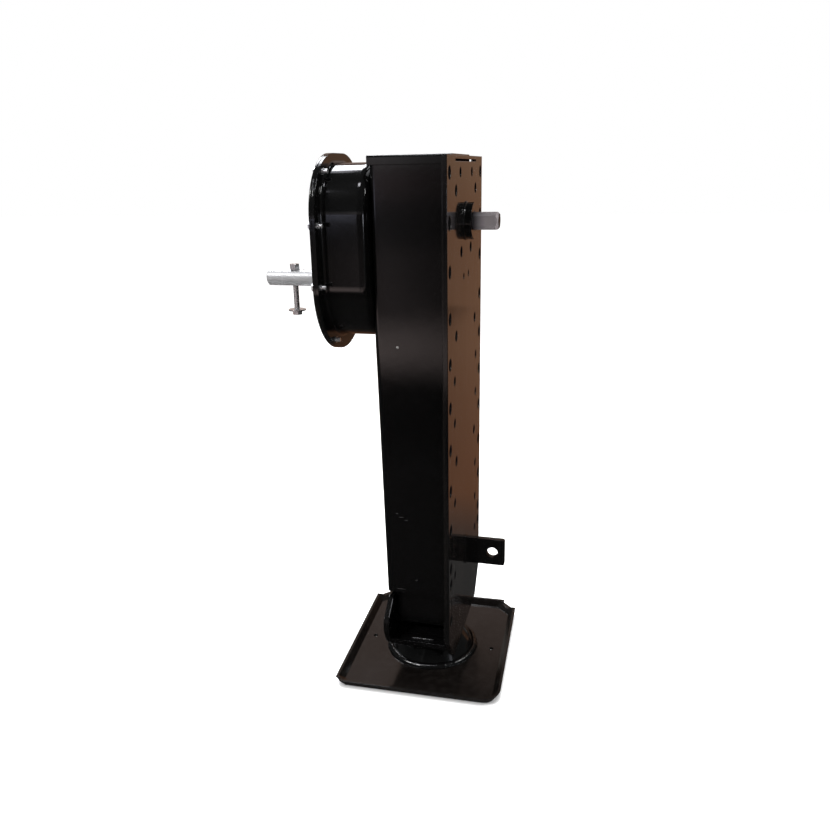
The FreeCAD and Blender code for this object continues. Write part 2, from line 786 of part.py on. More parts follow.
# Bushes, hub and end cap that carry the crank and output shafts
def make_bushes():
    cover_bush_end = low_outer + s.side_gap
    wall_bush = (-bush_outer_end, -bush_inner_end)
    for name, at, outer, bore, low, high in (
        ("crank_cover_bush", axis_at_crank, crank_bush_radius, crank_bore, -boss_face, -cover_bush_end),
        ("crank_wall_bush", axis_at_crank, crank_bush_radius, crank_bore, *wall_bush),
        ("crank_seal", axis_at_crank, crank_bush_radius, crank_bore, -boss_face - s.seal_thick, -boss_face),
        ("output_wall_bush", axis_at_output, output_bush_radius, output_bore, *wall_bush),
        ("output_cover_bush", axis_at_output, end_bush_radius, end_bore, -cover_face, -case_mouth),
        ("output_hub_bush", axis_at_output, hub_bush_radius, hub_bore, plate_back, hub_face),
    ):
        keep(name, ring(f"{name}_ring", "x", outer, bore, low, high, at))
    collar = hexagon("hub_collar", "x", spigot_radius + s.hub_rim, s.plate_face, hub_face, axis_at_output)
    spigot = rod("hub_spigot", "x", spigot_radius, plate_back, hub_face, axis_at_output)
    bore = rod("hub_bore", "x", hub_bush_radius, plate_back, hub_face, axis_at_output)
    keep("output_hub", cut("hub", fuse("hub_blank", collar, spigot), bore))
    cap_face = cover_face + s.boss_height
    cap = rod("end_cap_blank", "x", s.end_cap_radius, -cap_face, -cover_face, axis_at_output)
    room_radius, room_low = s.end_cap_radius - s.end_cap_sheet, s.end_cap_sheet - cap_face
    room = rod("end_cap_room", "x", room_radius, room_low, -cover_face, axis_at_output)
    keep("output_end_cap", cut("end_cap", cap, room))


def involute(angle):
    return math.tan(angle) - angle


def tooth_flank(pitch_radius, module, backlash):
    """One flank from root to tip as (radius, half angle) points of a tooth on this pitch circle."""
    base = pitch_radius * math.cos(PRESSURE_ANGLE)
    root = pitch_radius - DEDENDUM * module
    tip = pitch_radius + ADDENDUM * module
    at_pitch = (math.pi * module / 2 - backlash) / 2 / pitch_radius

    def half_angle(radius):
        slope = math.acos(min(1.0, base / radius))
        return at_pitch + involute(PRESSURE_ANGLE) - involute(slope)

    start = max(base, root)
    radii = [start + (tip - start) * i / (FLANK_POINTS - 1) for i in range(FLANK_POINTS)]
    points = [(radius, half_angle(radius)) for radius in radii]
    if root < base:
        points.insert(0, (root, half_angle(base)))
    return points


def spur_solid(teeth, module, backlash, first_tooth, width):
    """A toothed disc along X from 0 to width, its first tooth centred at an angle from +Y towards +Z."""
    flank = tooth_flank(teeth * module / 2, module, backlash)
    points = []
    for tooth in range(teeth):
        middle = first_tooth + 2 * math.pi * tooth / teeth
        outline = [(r, middle - a) for r, a in flank] + [(r, middle + a) for r, a in reversed(flank)]
        points += [Vector(0, r * math.cos(a), r * math.sin(a)) for r, a in outline]
    face = Part.Face(Part.makePolygon(points + points[:1]))
    return face.extrude(Vector(width, 0, 0))


def x_rod(radius, low, high):
    return Part.makeCylinder(radius, high - low, Vector(low, 0, 0), Vector(1, 0, 0))


def drive_slot(low, high):
    """The slot across a gear's face that takes the drive pin."""
    half_width = float(s.drive_pin_radius + s.dog_slack / 2)
    half_length = float(s.drive_pin_half + s.dog_slack)
    return Part.makeBox(high - low, 2 * half_width, 2 * half_length, Vector(low, -half_width, -half_length))


def coded(name, shape, height, rotation=None):
    """A sub-part from a coded shape made about the origin, raised to its shaft's height."""
    obj = doc.addObject("Part::Feature", f"{name}_solid")
    obj.Shape = shape
    place(obj, 0, 0, height, rotation)
    return keep(name, obj)


UP = math.pi / 2


def gap_below(teeth):
    """The first tooth's angle that leaves a tooth gap pointing straight down."""
    return -UP + math.pi / teeth


def make_crank_gears():
    backlash, bore, gap = float(s.backlash), float(crank_bore), float(s.side_gap)
    fast_in, fast_out = -float(fast_inner), -float(fast_outer)
    collar_out, low_in = -float(collar_end), -float(low_inner)
    dog_out, low_out = -float(low_dog_end), -float(low_outer)
    slot = float(drive_slot_depth)
    collar_bore = float(s.drive_pin_half) + gap
    collar_radius = collar_bore + float(s.collar_wall)

    teeth = int(float(s.fast_teeth))
    gear = spur_solid(teeth, float(fast_module), backlash, UP, float(s.fast_width))
    gear.translate(Vector(fast_out, 0, 0))
    collar = x_rod(collar_radius, collar_out, fast_out).cut(x_rod(collar_bore, collar_out, fast_out))
    gear = gear.fuse(collar).cut(x_rod(bore, collar_out, fast_in))
    gear = gear.cut(drive_slot(fast_out, fast_out + slot))
    coded("fast_gear", gear.removeSplitter(), s.crank_height)

    teeth = int(float(s.low_teeth))
    pinion = spur_solid(teeth, float(low_module), backlash, UP, float(s.low_width))
    pinion.translate(Vector(low_out, 0, 0))
    pinion = pinion.fuse(x_rod(collar_radius, dog_out, low_in)).cut(x_rod(bore, low_out, low_in))
    pinion = pinion.cut(drive_slot(low_in - slot, low_in))
    coded("low_pinion", pinion.removeSplitter(), s.crank_height)


def make_output_wheels():
    backlash, inset = float(s.backlash), float(s.wheel_inset)
    for name, count, module, low, high in (
        ("fast_wheel", s.fast_wheel_teeth, float(fast_module), -float(fast_outer), -float(fast_inner)),
        ("low_wheel", s.low_wheel_teeth, float(low_module), -float(low_outer), -float(low_dog_end)),
    ):
        teeth = int(float(count))
        wheel = spur_solid(teeth, module, backlash, gap_below(teeth), high - low - 2 * inset)
        wheel.translate(Vector(low + inset, 0, 0))
        coded(name, wheel.cut(x_rod(float(s.output_radius), low, high)), output_height)
    spacer_low, spacer_high = -low_dog_end - s.wheel_inset, -fast_outer + s.wheel_inset
    spacer_radius = s.output_radius + s.bush_wall
    spacer = ring("spacer", "x", spacer_radius, s.output_radius, spacer_low, spacer_high, axis_at_output)
    keep("wheel_spacer", spacer)


# Bevel gears: teeth that taper to the crossing of the output axis and the spindle axis
def bevel_solid(teeth, mate_teeth, first_tooth, hub_length, hub_radius, bore):
    """A bevel gear about Z below its apex at the origin, its first tooth at an angle from +X to +Y."""
    module, face = float(s.bevel_module), float(s.bevel_face)
    cone = math.atan2(teeth, mate_teeth)
    pitch_radius = teeth * module / 2
    distance = pitch_radius / math.sin(cone)
    flank = tooth_flank(pitch_radius / math.cos(cone), module, float(s.backlash))
    shrink = (distance - face) / distance
    section = []
    for radius, angle in flank:
        section.append((radius * math.sin(angle), radius * math.cos(angle) - pitch_radius / math.cos(cone)))
    sink = 0.4
    section[0] = (section[0][0], section[0][1] - sink)
    section = [(-t, h) for t, h in section] + [(t, h) for t, h in reversed(section)]

    def point(t, h, scale, azimuth):
        out = math.sin(cone) * distance + math.cos(cone) * h
        down = math.cos(cone) * distance - math.sin(cone) * h
        radial = Vector(math.cos(azimuth), math.sin(azimuth), 0)
        side = Vector(-math.sin(azimuth), math.cos(azimuth), 0)
        return (radial * out + side * t - Vector(0, 0, down)) * scale

    def tooth(azimuth):
        large = [point(t, h, 1, azimuth) for t, h in section]
        small = [point(t, h, shrink, azimuth) for t, h in section]
        rings = [Part.Face(Part.makePolygon(loop + loop[:1])) for loop in (large, small)]
        for i in range(len(section)):
            j = (i + 1) % len(section)
            quad = [large[i], large[j], small[j], small[i]]
            rings.append(Part.Face(Part.makePolygon(quad + quad[:1])))
        return Part.makeSolid(Part.makeShell(rings))

    root = -DEDENDUM * module
    large_out = math.sin(cone) * distance + math.cos(cone) * root
    large_down = math.cos(cone) * distance - math.sin(cone) * root
    small_out, small_down = large_out * shrink, large_down * shrink
    back = large_down + hub_length
    toothed = [(bore, small_down), (small_out, small_down), (large_out, large_down)]
    points = [Vector(r, 0, -d) for r, d in toothed + [(hub_radius, back), (bore, back)]]
    blank = Part.Face(Part.makePolygon(points + points[:1])).revolve(Vector(), Vector(0, 0, 1), 360)
    solid = blank.multiFuse([tooth(first_tooth + 2 * math.pi * i / teeth) for i in range(teeth)])
    if solid.Volume < 0:
        solid.reverse()
    return solid.removeSplitter()


def make_bevel_gears():
    pinion_teeth, wheel_teeth = int(float(s.bevel_pinion_teeth)), int(float(s.bevel_wheel_teeth))
    # the mesh lies outboard: a pinion tooth points down there, and a gap of the wheel points outboard
    hub, bore = float(s.output_waist + s.bush_wall), float(s.output_waist)
    pinion = bevel_solid(pinion_teeth, wheel_teeth, 0, bevel_pinion_hub(), hub, bore)
    coded("bevel_pinion", pinion, output_height, ALONG["x"])
    gap_outboard = math.pi + math.pi / wheel_teeth
    hub, bore = float(s.race_outer), float(s.spindle_seat)
    wheel = bevel_solid(wheel_teeth, pinion_teeth, gap_outboard, bevel_wheel_hub(), hub, bore)
    coded("bevel_wheel", wheel, output_height)


def bevel_back(teeth, mate_teeth):
    """How far below the apex the large end of a bevel gear's root lies."""
    module = float(s.bevel_module)
    cone = math.atan2(float(teeth), float(mate_teeth))
    return float(mate_teeth) * module / 2 + math.sin(cone) * DEDENDUM * module


def bevel_pinion_hub():
    return float(bush_inner_end) - float(s.side_gap) - bevel_back(s.bevel_pinion_teeth, s.bevel_wheel_teeth)


def bevel_wheel_hub():
    top = float(output_height - bearing_high - s.side_gap)
    return top - bevel_back(s.bevel_wheel_teeth, s.bevel_pinion_teeth)


# Crank shaft with its drive pin, circlip and loose cross bolt
def make_crank_shaft():
    along = [
        (0, -s.crank_tip),
        (s.crank_radius - s.crank_chamfer, -s.crank_tip),
        (s.crank_radius, s.crank_chamfer - s.crank_tip),
        (s.crank_radius, -s.crank_inner),
        (0, -s.crank_inner),
    ]
    shaft = revolve("crank_bar", along, "x", axis_at_crank)
    at_cross, at_pin = (-s.cross_place, 0), (-drive_pin_place, 0)
    low, high = s.crank_height - s.crank_radius * 2, s.crank_height + s.crank_radius * 2
    cross_hole = rod("cross_hole", "z", s.cross_radius + s.cross_slack, low, high, at_cross)
    pin_hole = rod("pin_hole", "z", s.drive_pin_radius, low, high, at_pin)
    clip_high = -s.crank_inner - s.circlip_wall
    clip_low = clip_high - s.circlip_thick
    clip_bore = s.crank_radius - s.circlip_wall / 2
    groove = ring("clip_groove", "x", s.crank_radius + 1, clip_bore, clip_low, clip_high, axis_at_crank)
    keep("crank_shaft", cut("crank_shaft_cut", shaft, cross_hole, pin_hole, groove))
    pin_low, pin_high = s.crank_height - s.drive_pin_half, s.crank_height + s.drive_pin_half
    keep("drive_pin", rod("dog_pin", "z", s.drive_pin_radius, pin_low, pin_high, at_pin))
    clip = ring("clip", "x", s.crank_radius + s.circlip_wall, clip_bore, clip_low, clip_high, axis_at_crank)
    keep("crank_circlip", clip)

    nut_low = s.crank_height + s.crank_radius
    nut_high = nut_low + s.cross_nut_height
    washer_high = s.crank_height - s.cross_drop
    washer_low = washer_high - s.cross_washer_thick
    head_low = washer_low - s.cross_head_height
    head = hexagon("cross_head", "z", s.cross_nut_radius, head_low, washer_low, at_cross)
    shank = rod("cross_shank", "z", s.cross_radius, washer_low, nut_high, at_cross)
    keep("cross_bolt", fuse("cross_bolt_whole", head, shank))
    washer = ring("washer", "z", s.cross_washer_radius, s.cross_radius, washer_low, washer_high, at_cross)
    keep("cross_washer", washer)
    blank = hexagon("cross_nut_blank", "z", s.cross_nut_radius, nut_low, nut_high, at_cross)
    bore = rod("cross_nut_bore", "z", s.cross_radius, nut_low, nut_high, at_cross)
    keep("cross_nut", cut("cross_nut_whole", blank, bore))


# Output shaft: wheels outboard, bevel pinion in the tube, square drive stub inboard
def make_output_shaft():
    seat_low = -low_outer + s.wheel_inset
    waist_low = s.side_gap - bush_inner_end
    end_low = s.side_gap - cover_face
    profile = [
        (0, end_low),
        (s.output_end_radius, end_low),
        (s.output_end_radius, seat_low),
        (s.output_radius, seat_low),
        (s.output_radius, waist_low),
        (s.output_waist, waist_low),
        (s.output_waist, plate_back),
        (s.stub_journal, plate_back),
        (s.stub_journal, s.stub_end - s.stub_chamfer),
        (s.stub_journal - s.stub_chamfer, s.stub_end),
        (0, s.stub_end),
    ]
    shaft = revolve("output_bar", profile, "x", axis_at_output)
    half, far = s.stub_square / 2, s.stub_journal * 2
    flats = []
    for name, y, z in (
        ("top", (-far, far), (half, far)),
        ("bottom", (-far, far), (-far, -half)),
        ("front", (-far, -half), (-far, far)),
        ("back", (half, far), (-far, far)),
    ):
        z_range = tuple(output_height + edge for edge in z)
        flats.append(block(f"stub_{name}", (hub_face, s.stub_end + far), y, z_range))
    keep("output_shaft", cut("output_shaft_cut", shaft, *flats))
    clip_low = seat_low - s.circlip_thick
    clip_radius = s.output_radius + s.circlip_wall
    clip = ring("output_clip", "x", clip_radius, s.output_end_radius, clip_low, seat_low, axis_at_output)
    keep("output_circlip", clip)


# Spindle with its collar, thrust bearing, bearing plate and lock nut
def make_spindle():
    upper_low = bearing_low - s.race_thick
    balls = upper_low - s.ball_radius
    lower_high = balls - s.ball_radius
    lower_low = lower_high - s.race_thick
    collar_low = lower_low - s.collar_height
    wheel_low = bearing_high + s.side_gap
    nut_low = output_height - bevel_wheel_top()
    nut_high = nut_low + s.lock_nut_height
    profile = [
        (0, s.spindle_bottom),
        (s.spindle_radius, s.spindle_bottom),
        (s.spindle_radius, collar_low),
        (s.spindle_collar, collar_low),
        (s.spindle_collar, lower_low),
        (s.spindle_journal, lower_low),
        (s.spindle_journal, wheel_low),
        (s.spindle_seat, wheel_low),
        (s.spindle_seat, nut_high),
        (0, nut_high),
    ]
    keep("spindle", revolve("screw", profile))
    nut_blank = hexagon("lock_nut_blank", "z", s.lock_nut_radius, nut_low, nut_high)
    nut_bore = rod("lock_nut_bore", "z", s.spindle_seat, nut_low, nut_high)
    keep("spindle_lock_nut", cut("lock_nut", nut_blank, nut_bore))
    bush_bore = s.spindle_journal + s.running_gap
    bush_radius = bush_bore + s.bush_wall
    room_half = s.tube_half - s.tube_wall
    room_x, room_y = (s.tube_wall - s.tube_face, plate_back), (-room_half, room_half)
    slab = block("bearing_slab", room_x, room_y, (bearing_low, bearing_high))
    bore = rod("bearing_bore", "z", bush_radius, bearing_low, bearing_high)
    keep("bearing_plate", cut("bearing_plate_cut", slab, bore))
    keep("spindle_bush", ring("spindle_bush_ring", "z", bush_radius, bush_bore, bearing_low, bearing_high))
    keep("thrust_race_upper", ring("race_a", "z", s.race_outer, bush_bore, upper_low, bearing_low))
    keep("thrust_race_lower", ring("race_b", "z", s.race_outer, s.spindle_journal, lower_low, lower_high))
    spheres = []
    count = int(float(s.ball_count))
    pitch = (s.race_outer + s.spindle_journal) / 2
    for number in range(count):
        angle = 2 * math.pi * number / count
        ball = doc.addObject("Part::Sphere", f"ball_{number}")
        bind(ball, "Radius", s.ball_radius)
        spheres.append(place(ball, pitch * math.cos(angle), pitch * math.sin(angle), balls))
    keep("thrust_balls", group("ball_set", spheres))
    stop_low = s.spindle_bottom - s.stop_ring_height
    keep("spindle_stop", rod("stop_ring", "z", s.stop_ring_radius, stop_low, s.spindle_bottom))


def bevel_wheel_top():
    """How far below the apex the wheel's inner face lies."""
    teeth, mate = s.bevel_wheel_teeth, s.bevel_pinion_teeth
    cone = math.atan2(float(teeth), float(mate))
    distance = float(teeth) * float(s.bevel_module) / 2 / math.sin(cone)
    return bevel_back(teeth, mate) * (distance - float(s.bevel_face)) / distance


# Lower leg: square tube, nut plate with the spindle nut, axle tube for the foot
def make_lower_leg():
    body = new_body("inner_tube")
    length = s.lower_top - s.lower_bottom

    def section(name, inset):
        sketch = new_sketch(body, name, "XY", s.lower_bottom)
        x, y = s.lower_half_x - inset, s.lower_half_y - inset
        polygon(sketch, [(-x, -y), (x, -y), (x, y), (-x, y)])
        return sketch

    pad(body, section("inner_outside", 0), length)
    pocket(body, section("inner_room", s.lower_wall), length, forward=True)
    eye = new_sketch(body, "axle_eye", "YZ", -s.lower_half_x)
    circle(eye, 0, s.axle_height, axle_tube_radius)
    pocket(body, eye, s.lower_half_x * 2, forward=True)

    def corner(edge):
        middle = edge.CenterOfMass
        outside = near(abs(middle.x), s.lower_half_x) and near(abs(middle.y), s.lower_half_y)
        return outside and is_straight(edge) and edge.BoundBox.ZLength > 1

    round_edges(body, "inner_corners", s.lower_corner, corner)
    keep("lower_tube", body)
    at_axle = (0, s.axle_height)
    half = s.lower_half_x
    keep("axle_tube", ring("axle_sleeve", "x", axle_tube_radius, axle_bore, -half, half, at_axle))
    x_low = s.nut_plate_gap + s.tube_wall - s.tube_face_low
    y_half = s.tube_half - s.tube_wall - s.nut_plate_gap
    x_high = plate_back - s.nut_plate_gap
    slab = block("nut_slab", (x_low, x_high), (-y_half, y_half), (s.lower_top, leg_top))
    seat = rod("nut_seat", "z", s.nut_radius, s.lower_top, leg_top)
    keep("nut_plate", cut("nut_plate_cut", slab, seat))
    nut_low, nut_bore = leg_top - s.nut_length, s.spindle_radius + s.running_gap
    keep("spindle_nut", ring("nut", "z", s.nut_radius, nut_bore, nut_low, leg_top))


def make_guide_pads():
    low = s.tube_bottom + s.pad_rise
    high = low + s.pad_height
    room_y = s.tube_half - s.tube_wall
    inner_y = s.lower_half_y + s.pad_gap
    inner_x = s.lower_half_x + s.pad_gap
    span_x = s.lower_half_x - s.pad_inset
    span_y = s.lower_half_y - s.pad_inset
    pads = [
        block("pad_front", (-span_x, span_x), (-room_y, -inner_y), (low, high)),
        block("pad_back", (-span_x, span_x), (inner_y, room_y), (low, high)),
        block("pad_outboard", (s.tube_wall - s.tube_face_low, -inner_x), (-span_y, span_y), (low, high)),
        block("pad_inboard", (inner_x, plate_back), (-span_y, span_y), (low, high)),
    ]
    keep("guide_pads", group("pad_set", pads))


# Foot: a saddle that tilts on the axle, and a lipped pan that swivels under it on the king bolt
def make_saddle():
    body = new_body("saddle")
    inside, outside = saddle_inside, saddle_outside
    outline = new_sketch(body, "saddle_outline", "YZ", -outside)
    right = [
        (s.web_half, s.web_bottom),
        (s.cheek_half, s.cheek_low),
        (s.cheek_half, s.cheek_high),
        (s.cheek_shoulder, s.cheek_top),
    ]
    polygon(outline, right + [(-y, z) for y, z in reversed(right)])
    pad(body, outline, outside * 2)
    room = new_sketch(body, "saddle_room", "XZ")
    polygon(room, [(-inside, web_top), (inside, web_top), (inside, s.cheek_top), (-inside, s.cheek_top)])
    pocket(body, room, s.cheek_half * 2, middle=True)
    eyes = new_sketch(body, "saddle_eyes", "YZ", -outside)
    circle(eyes, 0, s.axle_height, s.axle_radius)
    pocket(body, eyes, outside * 2, forward=True)
    king = new_sketch(body, "saddle_king", "XY", s.web_bottom)
    circle(king, s.foot_axis, 0, s.king_radius + s.running_gap)
    pocket(body, king, s.web_thick, forward=True)

    def cheek_corner(edge):
        middle = edge.CenterOfMass
        across = is_straight(edge) and edge.BoundBox.XLength > 1 and edge.BoundBox.YLength < 1e-4
        outer = abs(middle.y) > float(s.cheek_shoulder) - 0.01
        return across and outer and middle.z > float(s.cheek_low) - 0.01

    def bend(edge):
        along = is_straight(edge) and edge.BoundBox.YLength > 1 and edge.BoundBox.XLength < 1e-4
        return along and near(edge.BoundBox.ZMax, s.web_bottom) and near(abs(edge.CenterOfMass.x), outside)

    round_edges(body, "saddle_corners", s.cheek_corner, cheek_corner)
    round_edges(body, "saddle_bends", s.saddle_bend, bend)
    keep("foot_saddle", body)
    at_axle = (0, s.axle_height)
    head = rod("axle_head", "x", s.axle_head_radius, -outside - s.axle_head_thick, -outside, at_axle)
    bar = rod("axle_bar", "x", s.axle_radius, -outside, outside, at_axle)
    keep("foot_axle", fuse("axle", head, bar))


def make_foot():
    at_king = (s.foot_axis, 0)
    swivel_low = s.web_bottom - s.swivel_gap - s.swivel_thick
    swivel_high = s.web_bottom - s.swivel_gap
    dome_top = swivel_low
    room_top = dome_top - s.dome_wall
    shoulder = s.pan_thick + s.dome_shoulder_height
    profile = [
        (s.king_radius, dome_top),
        (s.dome_top - s.dome_round, dome_top),
        (s.dome_top, dome_top - s.dome_round / 3),
        (s.dome_shoulder, shoulder),
        (s.dome_base, s.pan_thick),
        (s.dome_base - s.dome_wall, s.pan_thick),
        (s.dome_shoulder - s.dome_wall, shoulder),
        (s.dome_top - s.dome_wall, room_top),
        (s.king_radius, room_top),
    ]
    keep("foot_dome", revolve("dome", profile, "z", at_king))
    swivel = ring("swivel", "z", s.swivel_radius, s.king_radius, swivel_low, swivel_high, at_king)
    keep("swivel_washer", swivel)
    washer_low = web_top + s.swivel_gap
    washer_high = washer_low + s.king_washer_thick
    head_high = washer_high + s.king_head_height
    bolt_low = room_top - s.king_nut_height - s.king_end
    head = hexagon("king_head", "z", s.king_head_radius, washer_high, head_high, at_king)
    shank = rod("king_shank", "z", s.king_radius, bolt_low, washer_high, at_king)
    keep("king_bolt", fuse("king", head, shank))
    washer = ring("king_ring", "z", s.king_washer_radius, s.king_radius, washer_low, washer_high, at_king)
    keep("king_washer", washer)
    nut_low = room_top - s.king_nut_height
    blank = hexagon("king_nut_blank", "z", s.king_head_radius, nut_low, room_top, at_king)
    bore = rod("king_nut_bore", "z", s.king_radius, nut_low, room_top, at_king)
    keep("king_nut", cut("king_nut_whole", blank, bore))


# Foot pan: a tray with flared lips, notched at three corners, round at the fourth, and a little turned
def make_pan():
    body = new_body("pan")
    top = s.pan_thick + s.pan_lip
    cut_corners = ((1, 1, s.pan_corner_back), (-1, 1, s.pan_corner_back), (-1, -1, s.pan_corner_front))

    def outline(name, height, inset):
        sketch = new_sketch(body, name, "XY", height)
        x, y = s.pan_half_x - inset, s.pan_half_y - inset
        points = []
        for side_x, side_y, c in cut_corners:
            corner = [(x * side_x, (y - c) * side_y), ((x - c) * side_x, y * side_y)]
            points += corner if side_x == side_y else corner[::-1]
        r = s.pan_round - inset
        points += [(x - r, -y), (x, r - y)]
        polygon(sketch, [(s.foot_axis + u, v) for u, v in points], {len(points) - 2: r})
        return sketch

    def loft(kind, name, low, high):
        feature = body.newObject(kind, name)
        feature.Profile = low
        feature.Sections = [high]
        feature.Ruled = True
        return feature

    low = outline("pan_low", 0, s.pan_flare)
    loft("PartDesign::AdditiveLoft", "pan_outside", low, outline("pan_high", top, 0))
    floor_inset = s.pan_flare + s.pan_thick
    room_low = outline("pan_floor", s.pan_thick, floor_inset)
    loft("PartDesign::SubtractiveLoft", "pan_room", room_low, outline("pan_mouth", top, s.pan_thick))
    corners = new_sketch(body, "pan_corners", "XY", top)
    for side_x, side_y, c in cut_corners:
        x0, x1 = (s.foot_axis + reach * side_x for reach in (s.pan_half_x - c, s.pan_half_x + 1))
        y0, y1 = (reach * side_y for reach in (s.pan_half_y - c, s.pan_half_y + 1))
        polygon(corners, [(x0, y0), (x1, y0), (x1, y1), (x0, y1)])
    pocket(body, corners, s.pan_notch)
    drains = new_sketch(body, "pan_drains", "XY", s.pan_thick)
    for side in (-1, 1):
        circle(drains, s.foot_axis + s.drain_reach * side, 0, s.drain_radius)
    pocket(body, drains, s.pan_thick)
    shift_x, shift_y = 1 - math.cos(PAN_TURN), -math.sin(PAN_TURN)
    turn = Rotation(Vector(0, 0, 1), math.degrees(PAN_TURN))
    place(body, s.foot_axis * shift_x, s.foot_axis * shift_y, 0, turn)
    keep("foot_pan", body)


make_mounting_plate()
make_outer_tube()
make_top_cover()
make_brace_tab()
make_gear_case()
make_gear_cover()
make_cover_fasteners()
make_bushes()
make_crank_gears()
make_output_wheels()
make_bevel_gears()
make_crank_shaft()
make_output_shaft()
make_spindle()
make_lower_leg()
make_guide_pads()
make_saddle()
make_foot()
make_pan()
doc.recompute()

# Every object has to be sound before anything is written
for obj in doc.Objects:
    if "Invalid" in obj.State or "Error" in obj.State:
        raise RuntimeError(f"{obj.Name} failed: {obj.State}")
for name, obj in nodes.items():
    if obj.Shape.isNull() or not obj.Shape.isValid() or not obj.Shape.Solids:
        raise RuntimeError(f"{name} has no valid solid")

os.makedirs("parts", exist_ok=True)
for name, obj in nodes.items():
    obj.Shape.exportStep(f"parts/{name}.step")
print(len(nodes), "sub-parts")
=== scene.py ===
import json
import math
import random

import bpy
from mathutils import Matrix, Vector


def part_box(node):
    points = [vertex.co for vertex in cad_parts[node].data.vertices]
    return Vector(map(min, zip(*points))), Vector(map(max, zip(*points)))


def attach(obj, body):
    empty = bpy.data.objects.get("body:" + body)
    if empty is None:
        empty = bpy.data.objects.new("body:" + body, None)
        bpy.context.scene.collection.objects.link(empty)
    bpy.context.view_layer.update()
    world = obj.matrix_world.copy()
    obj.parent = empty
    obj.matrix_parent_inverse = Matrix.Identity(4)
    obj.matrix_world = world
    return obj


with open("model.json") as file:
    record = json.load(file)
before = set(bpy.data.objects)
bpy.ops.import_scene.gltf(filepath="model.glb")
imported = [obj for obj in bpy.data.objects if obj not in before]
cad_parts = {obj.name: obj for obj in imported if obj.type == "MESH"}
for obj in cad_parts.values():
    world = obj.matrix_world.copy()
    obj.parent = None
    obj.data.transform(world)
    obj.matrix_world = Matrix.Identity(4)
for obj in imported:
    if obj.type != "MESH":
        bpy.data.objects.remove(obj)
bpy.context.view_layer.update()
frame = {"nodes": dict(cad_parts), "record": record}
NODES = frame["nodes"]
MM = 0.001


# The camera, at the photograph's viewing angle

LENS = 32.9
SENSOR = 36.0
CLIP_END = 50.0
CAMERA_PLACE = Vector((0.2549, -1.0562, 0.7518))
CAMERA_RIGHT = Vector((0.9693, 0.2451, -0.0183))
CAMERA_UP = Vector((-0.0585, 0.3024, 0.9514))


def make_camera():
    """A camera that stands in front of the leg, inboard of it and at the height of its top."""
    data = bpy.data.cameras.new("camera")
    data.lens = LENS
    data.sensor_width = SENSOR
    data.clip_end = CLIP_END
    camera = bpy.data.objects.new("camera", data)
    bpy.context.scene.collection.objects.link(camera)
    right = CAMERA_RIGHT.normalized()
    back = right.cross(CAMERA_UP).normalized()
    up = back.cross(right)
    turn = Matrix((right, up, back)).transposed().to_4x4()
    camera.matrix_world = Matrix.Translation(CAMERA_PLACE) @ turn
    bpy.context.scene.camera = camera


# Shader building

BEVEL_SAMPLES = 6


def new_material(name, colour):
    """A node material of one colour, and its Principled shader."""
    material = bpy.data.materials.new(name)
    material.use_nodes = True
    shader = material.node_tree.nodes["Principled BSDF"]
    shader.inputs["Base Color"].default_value = (*colour, 1.0)
    return material, shader


def add_node(owner, kind, **values):
    """A node of a material or world, with its properties and inputs set by name."""
    node = owner.node_tree.nodes.new(kind)
    for key, value in values.items():
        if key in node.inputs:
            node.inputs[key].default_value = value
        else:
            setattr(node, key, value)
    return node


def link(owner, source, target):
    """Joins an output to an input."""
    owner.node_tree.links.new(source, target)


def grain(material, scale, detail=3.0):
    """Noise in the object's own coordinates."""
    place = add_node(material, "ShaderNodeTexCoord")
    noise = add_node(material, "ShaderNodeTexNoise", Scale=scale, Detail=detail)
    link(material, place.outputs["Object"], noise.inputs["Vector"])
    return noise


def ramp(material, source, stops):
    """A colour ramp over a 0..1 value; stops are (place, grey or colour)."""
    node = add_node(material, "ShaderNodeValToRGB")
    elements = node.color_ramp.elements
    while len(elements) < len(stops):
        elements.new(0.5)
    for element, (place, value) in zip(elements, stops):
        colour = value if isinstance(value, tuple) else (value, value, value)
        element.position = place
        element.color = (*colour, 1.0)
    link(material, source, node.inputs["Fac"])
    return node


def split_place(material, kind, output):
    """The X, Y and Z of the place that a node gives."""
    source = add_node(material, kind)
    split = add_node(material, "ShaderNodeSeparateXYZ")
    link(material, source.outputs[output], split.inputs["Vector"])
    return split


def along_axis(material, split, axis, stops):
    """A ramp over places in metres along one axis."""
    low, high = stops[0][0], stops[-1][0]
    share = add_node(material, "ShaderNodeMapRange")
    share.inputs["From Min"].default_value = low
    share.inputs["From Max"].default_value = high
    link(material, split.outputs[axis], share.inputs["Value"])
    return ramp(material, share.outputs["Result"], [((p - low) / (high - low), c) for p, c in stops])


def soft_edges(material, shader, radius, bump=None):
    """Rounds the edges' shading by a small radius, with an optional bump below it."""
    bevel = add_node(material, "ShaderNodeBevel", samples=BEVEL_SAMPLES, Radius=radius)
    if bump is None:
        link(material, bevel.outputs["Normal"], shader.inputs["Normal"])
        return
    link(material, bevel.outputs["Normal"], bump.inputs["Normal"])
    link(material, bump.outputs["Normal"], shader.inputs["Normal"])


def uneven_gloss(material, shader, rough, scale, spread):
    """Roughness that wanders round its mean; spread is two pairs of (noise value, share of the mean)."""
    stops = [(place, min(1.0, rough * share)) for place, share in spread]
    gloss = ramp(material, grain(material, scale).outputs["Fac"], stops)
    link(material, gloss.outputs["Color"], shader.inputs["Roughness"])


def rippled(material, shader, wave, depth, noise, edge):
    """A bump from a noise over the whole surface, with soft edges."""
    ripple = add_node(material, "ShaderNodeBump", Strength=wave, Distance=depth)
    link(material, noise.outputs["Fac"], ripple.inputs["Height"])
    soft_edges(material, shader, edge, ripple)


# Kinds of surface

